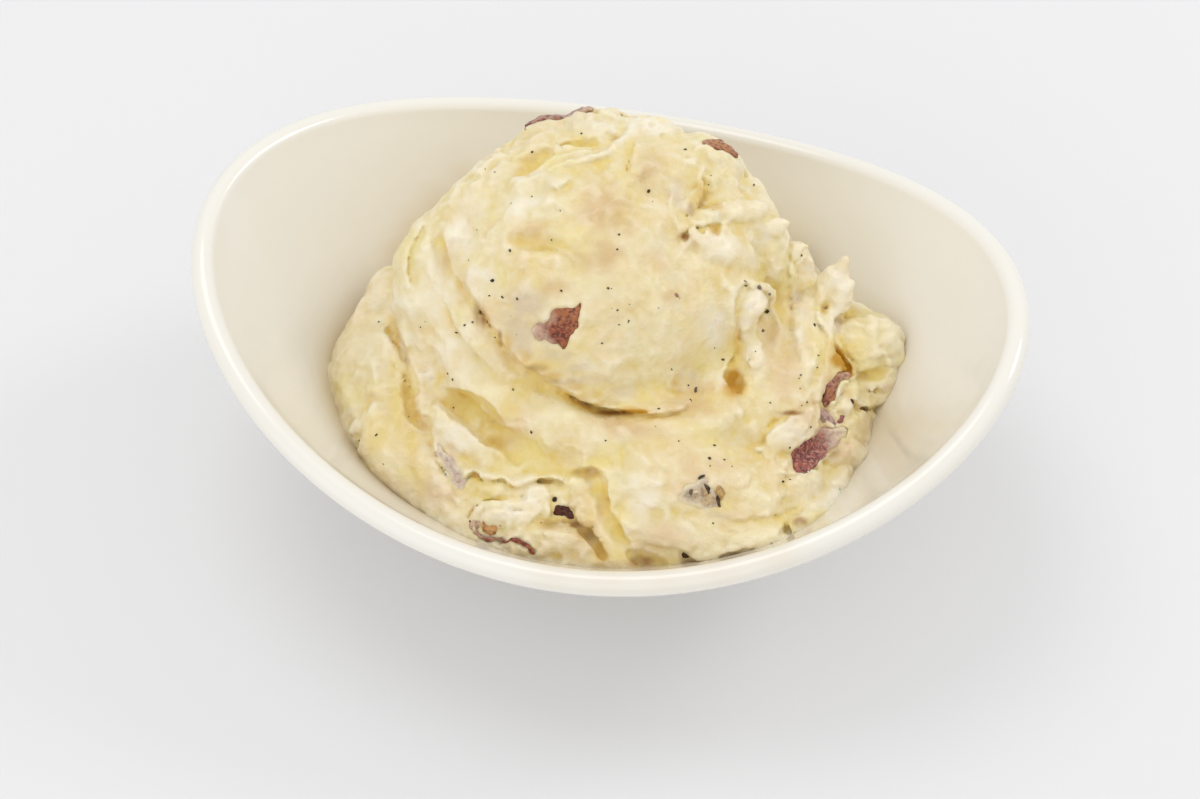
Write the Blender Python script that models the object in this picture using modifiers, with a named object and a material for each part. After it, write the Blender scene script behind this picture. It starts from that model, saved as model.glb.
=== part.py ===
"""A side of mashed potato with scraps of red skin, heaped in an oval bowl whose ends stand high.

Metres, +Z up. The origin is on the table, under the middle of the bowl's foot, and +X runs along the bowl.
"""

import math

import bmesh
import bpy
from mathutils import Matrix, Vector, noise
from mathutils.bvhtree import BVHTree

MM = 0.001
GAP = 0.00035  # between neighbours

# Bowl
BOWL_LENGTH = 0.190
BOWL_WIDTH = 0.143
RIM_HEIGHT = 0.0565  # mean height of the middle of the lip
RIM_WAVE = 0.0107  # the ends stand this much above the mean, and the sides this much below
WALL = 0.0038
LIP_RADIUS = 0.0028  # the lip is a rounded roll along the rim
LIP_DROP = 0.25  # the roll's middle is this much of its radius below the wall's upper edge
FLOOR_HEIGHT = 0.0078  # of the inside's lowest point
FOOT_HEIGHT = 0.0050
FOOT_SHARE = 0.43  # the foot's size as a share of the rim's
FOOT_RING = 0.0050  # width of the ring that the bowl stands on
FOOT_RECESS = 0.0022
EDGE_ROUND = 0.0007
WALL_CURVE = 2.35  # the power by which the wall rises from the middle to the rim
ROUND = 72  # sides of the bowl's oval
INNER_SHARES = (0.12, 0.25, 0.38, 0.50, 0.61, 0.71, 0.80, 0.88, 0.95)
OUTER_SHARES = (0.94, 0.85, 0.75, 0.65, 0.56, 0.49)

# Heap of mash: its front is turned from the bowl's long side
HEAP_TURN = math.radians(12.5)
HEAP_VOXEL = 0.0020
HEAP_SMOOTHING = 3
HEAP_FACES_KEPT = 0.18
LUMPINESS = 0.0016
LUMP_SIZE = 0.016
# Each lump has its middle and half-sizes in millimetres, then its turn about Z and lean about X in degrees
LUMPS = (
    ("lower mass", (2, 4, 24), (60, 58, 29), 0, 0),
    ("front", (2, -38, 32), (44, 25, 13), 0, 0),
    ("left shoulder", (-38, -10, 31), (24, 34, 15), 12, 0),
    ("right shoulder", (38, -8, 30), (24, 32, 16), 0, 0),
    ("upper mass", (-1, 17, 54), (38, 34, 27), 0, 0),
    ("left lobe", (-51, -5, 33), (13, 25, 13), 8, 0),
    ("left lobe's back", (-49, 15, 38), (8.5, 11, 11), 0, 0),
    ("right lobe", (58, 3.2, 35), (12, 11, 11), 0, 0),
    ("right lobe's front", (62, -4, 34), (7, 6, 7), 0, 0),
    ("top dollop", (-3, 7, 58), (33, 32, 23), 0, 20),
    ("dollop's back", (-1, 25, 64), (31, 20, 15), 0, 0),
    ("crown", (-2, 36, 72), (9, 9, 9), 0, 0),
    ("crown's left", (-13, 35, 70), (9, 9, 8), 0, 0),
    ("crown's right", (9, 34, 72), (10, 9, 8), 0, 0),
    ("crown's shoulder", (21, 28, 70), (11, 12, 9), 0, 0),
    ("crown's flank", (26, 21, 64), (9, 14, 11), 0, 0),
)
# Each strand runs through points of x, y, z and radius, in millimetres
STRANDS = (
    (
        "sweep round the dollop",
        ((-15, 30, 71, 8), (-31, 16, 61, 12), (-35, 10, 52, 14), (-20, -12, 40, 15), (10, -25, 38, 14),
         (38, -15, 37, 13), (47, 10, 37, 9)),
    ),
    (
        "slope under the dollop",
        ((-33, -5, 52, 7), (-22, -19, 48, 7), (-3, -30, 46, 7), (8, -31, 46, 7), (26, -23, 47, 6)),
    ),
    ("band against the dollop", ((-37, 5, 63, 3), (-31, -5, 61, 4.2), (-22, -17, 55, 3))),
    ("lip of the dollop", ((-20, -14, 61, 3.5), (-8, -20, 57, 4), (4, -21, 52, 4), (16, -16, 49, 3.5))),
    (
        "slope right of the dollop",
        ((34, 19, 64, 6), (35.5, 14.5, 57, 7.5), (36, 10, 46, 8), (34, -12, 46, 7)),
    ),
    ("slope beside the dollop", ((24, 11, 69, 5.5), (27, 3, 62, 6), (27.5, -3, 53, 6), (25, -15, 48, 5))),
    ("right rib", ((44, 31, 38, 4), (46, 16, 43, 4.5), (46, 2, 46, 4.5), (44.5, -9.5, 46.5, 4))),
    ("outer rib", ((50.5, 16, 44, 2.6), (50, 5, 46, 2.8), (48.5, -11, 45.5, 2.4))),
    (
        "peak on the right",
        ((50.3, 10.3, 47.6, 3.6), (51.7, 12.2, 51, 3), (53.3, 13.7, 53.6, 2.2), (54.4, 14.6, 55.4, 1.4)),
    ),
    ("crown ridge", ((-20, 20, 77, 2), (-11, 22.5, 79.3, 2.6), (-2, 24, 80, 2.5), (5.5, 35, 78.5, 2))),
    ("right front slab", ((7, -36, 36, 14), (16, -39, 34, 17), (28, -40, 32, 16), (39, -34, 30, 12))),
    (
        "foot of the slab",
        ((8, -49, 39.3, 5.5), (16, -51, 39, 6.3), (25, -50.5, 39.4, 6.3), (34, -46.7, 39.4, 5.5)),
    ),
    ("left ridge", ((-37, -22.5, 43.5, 3), (-34, -25.6, 42.4, 4), (-26, -32, 41.6, 4), (-21.5, -35, 42, 3))),
    (
        "left foot of the heap",
        ((-52, -20.5, 38, 6), (-47, -29, 37, 6.5), (-42, -35, 35, 6), (-36, -40.5, 35, 5)),
    ),
    ("front roll", ((-23, -51, 37.4, 3.5), (-17, -52, 38.3, 4.2), (-6, -54, 38.8, 4))),
    ("right chunk", ((37.5, -28, 43.3, 3.6), (40.5, -26, 43.2, 4.2), (45, -22, 43, 3.6))),
)

# Scraps of skin: middle, facing, half-length, half-width in millimetres, and turn in degrees
SKINS = (
    ("skin_middle", (-11, -15.5, 69), (-0.2, -0.7, 0.7), 6.0, 4.6, 25),
    ("skin_right_upper", (50, -13, 42), (0.3, -0.3, 0.9), 6.0, 2.8, 50),
    ("skin_right_lower", (47, -28, 41), (0.3, -0.4, 0.85), 7.5, 3.6, 32),
    ("skin_front", (20.5, -46.5, 48), (0.1, -0.4, 0.9), 4.8, 4.2, 0),
    ("skin_front_left", (-22, -55, 40), (-0.4, -0.7, 0.6), 6.0, 2.2, -20),
    ("skin_left", (-35, -33, 42), (-0.2, -0.5, 0.85), 5.4, 3.0, 105),
    ("skin_crown_left", (-11, 41, 76), (-0.1, 0.75, 0.65), 6.8, 2.6, 0),
    ("skin_crown_right", (26, 32, 77), (0.2, 0.55, 0.8), 4.6, 3.0, 0),
)
SKIN_ABOVE = 0.0006  # how far a scrap stands proud of the mash
SKIN_BELOW = 0.0012
SKIN_SIDES = 12
SKIN_RAGGED = 0.22


# --- Bowl ---------------------------------------------------------------------------------------


def rim_wave(angle):
    """Height of the rim above its mean, at an angle round the oval."""
    return RIM_WAVE * math.cos(2 * angle)


def inner_half_sizes():
    return BOWL_LENGTH / 2 - 2 * LIP_RADIUS, BOWL_WIDTH / 2 - 2 * LIP_RADIUS


def inner_point(share, angle):
    """A point of the bowl's inner face: share is 0 in the middle and 1 at the lip."""
    long_half, short_half = inner_half_sizes()
    lip_height = RIM_HEIGHT + LIP_RADIUS * LIP_DROP
    height = FLOOR_HEIGHT + (lip_height - FLOOR_HEIGHT) * share**WALL_CURVE + rim_wave(angle) * share**3
    return Vector((long_half * share * math.cos(angle), short_half * share * math.sin(angle), height))


def outward(share, angle):
    """The inner face's normal, pointing into the wall."""
    step = 0.004
    across = inner_point(share + step, angle) - inner_point(share - step, angle)
    around = inner_point(share, angle + step) - inner_point(share, angle - step)
    return across.cross(around).normalized() * -1


def plan_normal(angle):
    """The level direction straight out of the oval."""
    long_half, short_half = inner_half_sizes()
    return Vector((short_half * math.cos(angle), long_half * math.sin(angle), 0)).normalized()


def bowl_section(angle):
    """The bowl's section at one angle, from the middle of the inside over the lip to the middle underneath."""
    out, up = plan_normal(angle), Vector((0, 0, 1))
    inside = [inner_point(share, angle) for share in INNER_SHARES]
    middle = inner_point(1, angle) + out * LIP_RADIUS - up * LIP_RADIUS * LIP_DROP
    lip = [
        middle + (out * math.cos(turn) + up * math.sin(turn)) * LIP_RADIUS
        for turn in (math.radians(a) for a in (155, 125, 95, 65, 35, 5, -25, -55))
    ]
    outside = [inner_point(share, angle) + outward(share, angle) * WALL for share in OUTER_SHARES]
    foot_edge = inner_point(FOOT_SHARE, angle)
    foot_edge.z = 0
    ring_inner = foot_edge - out * FOOT_RING
    foot = [
        foot_edge + up * FOOT_HEIGHT,
        foot_edge + up * EDGE_ROUND,
        foot_edge - out * EDGE_ROUND,
        ring_inner + out * EDGE_ROUND,
        ring_inner + up * FOOT_RECESS,
    ]
    return inside + lip + outside + foot


def angles():
    return [2 * math.pi * i / ROUND for i in range(ROUND)]


def loft(name, sections, first_middle, last_middle):
    """A closed mesh through open sections set round an axis, with a fan at each end."""
    mesh = bpy.data.meshes.new(name)
    made = bmesh.new()
    rings = [[made.verts.new(p) for p in section] for section in sections]
    first, last = made.verts.new(first_middle), made.verts.new(last_middle)
    for ring, after in zip(rings, rings[1:] + rings[:1]):
        made.faces.new((first, ring[0], after[0]))
        made.faces.new((last, after[-1], ring[-1]))
        for k in range(len(ring) - 1):
            made.faces.new((ring[k], ring[k + 1], after[k + 1], after[k]))
    bmesh.ops.recalc_face_normals(made, faces=made.faces)
    made.to_mesh(mesh)
    made.free()
    mesh.shade_smooth()
    return mesh


def bowl_mesh():
    sections = [bowl_section(angle) for angle in angles()]
    return loft("bowl", sections, inner_point(0, 0), Vector((0, 0, FOOT_RECESS)))


def hollow_mesh():
    """What the mash may fill: the bowl's inside less the gap, and the space above it."""
    top = Vector((0, 0, 0.12))
    sections = []
    for angle in angles():
        wall = [inner_point(share, angle) - outward(share, angle) * GAP for share in INNER_SHARES]
        sections.append([*wall, Vector((wall[-1].x, wall[-1].y, top.z))])
    return loft("hollow", sections, inner_point(0, 0) + Vector((0, 0, GAP)), top)


# --- Heap ---------------------------------------------------------------------------------------


def add_ball(made, middle, radii, turn=0, lean=0, finely=4):
    """One ellipsoid, in millimetres and degrees."""
    place = (
        Matrix.Translation(Vector(middle) * MM)
        @ Matrix.Rotation(math.radians(turn), 4, "Z")
        @ Matrix.Rotation(math.radians(lean), 4, "X")
        @ Matrix.Diagonal((*(r * MM for r in radii), 1))
    )
    bmesh.ops.create_icosphere(made, subdivisions=finely, radius=1, matrix=place)


def add_strand(made, points):
    """Overlapping balls along a smooth route."""
    stops = [Vector(p) for p in points]
    ends = [2 * stops[0] - stops[1], *stops, 2 * stops[-1] - stops[-2]]
    for before, a, b, after in zip(ends, ends[1:], ends[2:], ends[3:]):
        steps = max(2, round((b - a).length / (0.35 * a.w)))
        for t in (i / steps for i in range(steps + 1)):
            bend = (2 * a + (b - before) * t + (2 * before - 5 * a + 4 * b - after) * t * t) * 0.5
            at = bend + (3 * a - before - 3 * b + after) * (0.5 * t**3)
            add_ball(made, at.xyz, (at.w,) * 3, finely=3)


def lumps_mesh():
    made = bmesh.new()
    for _, middle, radii, turn, lean in LUMPS:
        add_ball(made, middle, radii, turn, lean)
    for _, points in STRANDS:
        add_strand(made, points)
    mesh = bpy.data.meshes.new("lumps")
    made.to_mesh(mesh)
    made.free()
    return mesh


def roughen(mesh):
    """Uneven lumps all over, along the normals."""
    normals = [v.normal.copy() for v in mesh.vertices]
    for vertex, normal in zip(mesh.vertices, normals):
        vertex.co += normal * LUMPINESS * noise.noise(vertex.co / LUMP_SIZE)


# --- Skins --------------------------------------------------------------------------------------


def scrap_mesh(name, surface, middle, facing, half_length, half_width, turn, grow=0.0, above=SKIN_ABOVE):
    """A ragged patch that follows the mash, as a solid reaching a little above and below its surface."""
    out = Vector(facing).normalized()
    side = Vector((0, 0, 1)).cross(out).normalized()
    side.rotate(Matrix.Rotation(math.radians(turn), 3, out))
    rise = out.cross(side)
    centre = Vector(middle) * MM
    made = bmesh.new()

    def vertex(share, angle):
        way = Vector((math.cos(angle), math.sin(angle), 0))
        ragged = 1 + SKIN_RAGGED * noise.noise(centre * 900 + way * 1.6)
        along = (half_length * MM * ragged + grow) * share * math.cos(angle)
        across = (half_width * MM * ragged + grow) * share * math.sin(angle)
        start = centre + side * along + rise * across + out * 0.008
        hit = surface.ray_cast(start, -out, 0.016)[0]
        return made.verts.new((hit or start - out * 0.008) - out * (SKIN_BELOW + grow))

    turns = [2 * math.pi * i / SKIN_SIDES for i in range(SKIN_SIDES)]
    inner, outer = ([vertex(share, angle) for angle in turns] for share in (0.55, 1))
    heart = vertex(0, 0)
    for i in range(SKIN_SIDES):
        after = (i + 1) % SKIN_SIDES
        made.faces.new((heart, inner[i], inner[after]))
        made.faces.new((inner[i], outer[i], outer[after], inner[after]))
    lower = list(made.faces)
    grown = bmesh.ops.extrude_face_region(made, geom=lower, use_keep_orig=True)
    upper = [v for v in grown["geom"] if isinstance(v, bmesh.types.BMVert)]
    bmesh.ops.translate(made, verts=upper, vec=out * (SKIN_BELOW + above + 2 * grow))
    bmesh.ops.recalc_face_normals(made, faces=made.faces)
    mesh = bpy.data.meshes.new(name)
    made.to_mesh(mesh)
    made.free()
    return mesh


# --- Objects ------------------------------------------------------------------------------------


def clear_scene():
    for old in list(bpy.data.objects):
        bpy.data.objects.remove(old, do_unlink=True)


def collection(name):
    made = bpy.data.collections.new(name)
    bpy.context.scene.collection.children.link(made)
    return made


def material(name, colour, roughness):
    made = bpy.data.materials.new(name)
    made.use_nodes = True
    shader = made.node_tree.nodes["Principled BSDF"]
    shader.inputs["Base Color"].default_value = (*colour, 1)
    shader.inputs["Roughness"].default_value = roughness
    return made


def add_object(name, mesh, place, look=None, parent=None):
    made = bpy.data.objects.new(name, mesh)
    made.parent = parent
    place.objects.link(made)
    if look:
        mesh.materials.append(look)
    return made


def add_helper(name, mesh, place, parent=None):
    made = add_object(name, mesh, place, parent=parent)
    made.hide_render = True
    made.display_type = "WIRE"
    return made


def evaluated(name, source):
    """A new mesh with the source's modifiers carried out."""
    bpy.context.view_layer.update()
    ready = source.evaluated_get(bpy.context.evaluated_depsgraph_get())
    mesh = bpy.data.meshes.new_from_object(ready)
    mesh.name = name
    return mesh


def add_boolean(target, cutter, operation):
    cut = target.modifiers.new(cutter.name, "BOOLEAN")
    cut.operation = operation
    cut.solver = "EXACT"
    cut.object = cutter


def heap_core(guides, turned):
    """The lumps and strands fused, smoothed, roughened and thinned to few faces."""
    lumps = add_helper("lumps", lumps_mesh(), guides, turned)
    fuse = lumps.modifiers.new("fuse", "REMESH")
    fuse.mode = "VOXEL"
    fuse.voxel_size = HEAP_VOXEL
    soften = lumps.modifiers.new("soften", "SMOOTH")
    soften.iterations = HEAP_SMOOTHING
    fused = evaluated("core", lumps)
    roughen(fused)
    core = add_helper("core", fused, guides, turned)
    thin = core.modifiers.new("thin", "DECIMATE")
    thin.ratio = HEAP_FACES_KEPT
    return evaluated("mash", core)


def surface_of(mesh):
    made = bmesh.new()
    made.from_mesh(mesh)
    tree = BVHTree.FromBMesh(made)
    made.free()
    return tree


def main():
    clear_scene()
    parts = collection("mashed_potato_side")
    guides = collection("guides")
    glaze = material("glaze", (0.83, 0.79, 0.69), 0.15)
    potato = material("potato", (0.85, 0.75, 0.49), 0.45)
    red_skin = material("red_skin", (0.30, 0.07, 0.05), 0.45)

    add_object("bowl", bowl_mesh(), parts, glaze)
    hollow = add_helper("hollow", hollow_mesh(), guides)

    turned = bpy.data.objects.new("heap", None)
    turned.rotation_euler.z = HEAP_TURN
    parts.objects.link(turned)
    core = heap_core(guides, turned)
    surface = surface_of(core)
    mash = add_object("mash", core, parts, potato, turned)
    add_boolean(mash, hollow, "INTERSECT")
    for name, *placing in SKINS:
        scrap = add_object(name, scrap_mesh(name, surface, *placing), parts, red_skin, turned)
        add_boolean(scrap, hollow, "INTERSECT")
        pocket = scrap_mesh(f"pocket_{name}", surface, *placing, grow=GAP, above=0.004)
        add_boolean(mash, add_helper(pocket.name, pocket, guides, turned), "DIFFERENCE")


main()
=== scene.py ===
"""Mashed potato with scraps of red skin, heaped in an oval bowl of ivory stoneware whose ends stand high.

Metres, +Z up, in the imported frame. The heap is worked out in millimetres in a frame of its own, turned about
Z so that its front faces -Y. Places on its face are given by how far across (+X) and how far up a tilted
plane they are.

The heap is a field: a grid of distances to its surface. Masses, strands, ridges and grooves are blended into
it, sheets of mash are laid over one another, and relief of several sizes is added. The scraps of skin are
then pressed in, and last the surface is taken off as a mesh.
"""

import math
from itertools import product

import bmesh
import bpy
import numpy as np
from mathutils import Matrix, Vector
from mathutils.geometry import delaunay_2d_cdt


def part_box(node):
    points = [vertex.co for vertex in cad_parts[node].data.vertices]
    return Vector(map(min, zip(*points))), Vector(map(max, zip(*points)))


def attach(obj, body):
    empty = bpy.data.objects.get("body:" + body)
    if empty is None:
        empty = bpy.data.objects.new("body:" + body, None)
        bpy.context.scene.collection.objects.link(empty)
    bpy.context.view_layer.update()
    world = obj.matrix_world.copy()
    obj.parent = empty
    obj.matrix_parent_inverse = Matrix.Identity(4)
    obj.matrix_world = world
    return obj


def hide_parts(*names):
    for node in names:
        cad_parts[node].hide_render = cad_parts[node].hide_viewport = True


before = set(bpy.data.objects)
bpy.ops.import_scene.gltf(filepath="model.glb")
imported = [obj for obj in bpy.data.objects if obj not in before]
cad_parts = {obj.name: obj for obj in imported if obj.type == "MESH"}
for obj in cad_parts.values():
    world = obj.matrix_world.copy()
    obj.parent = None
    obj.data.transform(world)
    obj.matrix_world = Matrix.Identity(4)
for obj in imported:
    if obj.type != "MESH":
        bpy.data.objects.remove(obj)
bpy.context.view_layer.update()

MM = 0.001

# Camera, light and floor
CAMERA_AZIMUTH = math.radians(12.49)
CAMERA_ELEVATION = math.radians(51.2)
CAMERA_DISTANCE = 0.75
CAMERA_TARGET = Vector((0.0004, -0.0093, 0.035))
CAMERA_LENS = 97.63
SENSOR_WIDTH = 36
LIGHT_TARGET = Vector((0, 0, 0.04))
FLOOR_SIZE = 5.0

# Bowl, in millimetres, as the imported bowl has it
BOWL_LENGTH = 190.0
BOWL_WIDTH = 143.0
RIM_HEIGHT = 56.5
RIM_WAVE = 10.7
WALL = 3.8
LIP_RADIUS = 2.8
LIP_DROP = 0.25
FLOOR_HEIGHT = 7.8
FOOT_HEIGHT = 5.0
FOOT_SHARE = 0.43
FOOT_RING = 5.0
FOOT_RECESS = 2.2
EDGE_ROUND = 0.7
WALL_CURVE = 2.35
STANDING_HEIGHT = 0.4  # faces under this height stand on the table, and are bare clay
BOWL_SIDES = 216
# how far the painted shade and reflected mash colour on the glaze reach from the heap
WALL_SHADE_REACH = 7.0
GLAZE_COLOURS = ((0.83, 0.80, 0.725), (0.85, 0.82, 0.75))
# colour of the painted shade and reflected mash on the glaze
WALL_SHADE_COLOUR = (0.66, 0.53, 0.33)
CLAY_COLOURS = ((0.62, 0.54, 0.42), (0.54, 0.45, 0.34))

# Heap
HEAP_TURN = math.radians(12.5)
HEAP_LOW = (-72, -74, 4)
HEAP_HIGH = (78, 66, 94)
GRID_STEP = 0.52
FAR = 30.0
MASH_TRIANGLES = 195000
BITE = 0.7  # how far the mash reaches into the bowl's wall, so that no gap shows
HIDDEN_GAP = 0.3  # mash this close to its cut against the wall isn't seen
HIDDEN_THINNING = 0.93  # the share of the unseen faces that is taken away
HOLLOW_SIZE = 2.4  # how far round a point is looked at for small hollows, and for broad ones
SUNKEN_SIZE = 7.0
PEAK_LEAN = 0.4
EDGE_SOFTNESS = 0.25
EDGE_FADE = 0.12  # the share of an edge's length over which it fades out at each end
NOISE_SLOPES = 4096
NOISE_HEIGHT = 1.8
MARGIN = 4  # how far beyond a shape the field is worked out
FACE_TILT = math.radians(51.0)
TOWARDS_FACE = np.array([0.0, -math.cos(FACE_TILT), math.sin(FACE_TILT)])
UP_THE_FACE = np.array([0.0, math.sin(FACE_TILT), math.cos(FACE_TILT)])
FACE_DEPTHS = np.arange(140, -60, -0.5)

# Masses: middle, half-sizes, blend in millimetres, turn about Z and lean about X in degrees
MASSES = (
    ((2, 4, 24), (60, 58, 29), 4, 0, 0),
    ((2, -38, 32), (44, 25, 13), 5, 0, 0),
    ((-38, -10, 31), (24, 34, 15), 4, 12, 0),
    ((38, -8, 30), (24, 32, 16), 4, 0, 0),
    ((-1, 17, 54), (38, 34, 27), 4, 0, 0),
)
# The band that sweeps from the back, round under the dollop, to the right: x, y, z, radius
SWEEP = (
    (-15, 30, 71, 8), (-25, 23, 67, 10), (-31, 16, 61, 12), (-35, 10, 52, 14), (-30, 1, 42, 15),
    (-20, -12, 40, 15), (-6, -22, 39, 14), (10, -25, 38, 14), (26, -22, 37, 14), (38, -15, 37, 13),
    (45, -2, 38, 11), (47, 10, 37, 9),
)
LEFT_LOBE = (
    ((-51, -5, 33), (13, 25, 13), 1.0, 8, 0),
    ((-49, 15, 38), (8.5, 11, 11), 1.5, 0, 0),
)
RIGHT_SHOULDER = ((45, 17, 39, 7), (50, 10, 38, 7), (53, 2, 38, 7))
LOBES = (
    ((58, 3.2, 35), (12, 11, 11), 1.0, 0, 0),  # right
    ((62, -4, 34), (7, 6, 7), 1.0, 0, 0),
    ((-3, 7, 58), (33, 32, 23), 1.8, 0, 20),  # top dollop
    ((-1, 25, 64), (31, 20, 15), 5, 0, 0),
    ((-2, 36, 72), (9, 9, 9), 2, 0, 0),  # crown
    ((-13, 35, 70), (9, 9, 8), 2, 0, 0),
    ((9, 34, 72), (10, 9, 8), 2, 0, 0),
    ((21, 28, 70), (11, 12, 9), 2, 0, 0),
    ((26, 21, 64), (9, 14, 11), 2, 0, 0),
)

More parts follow.
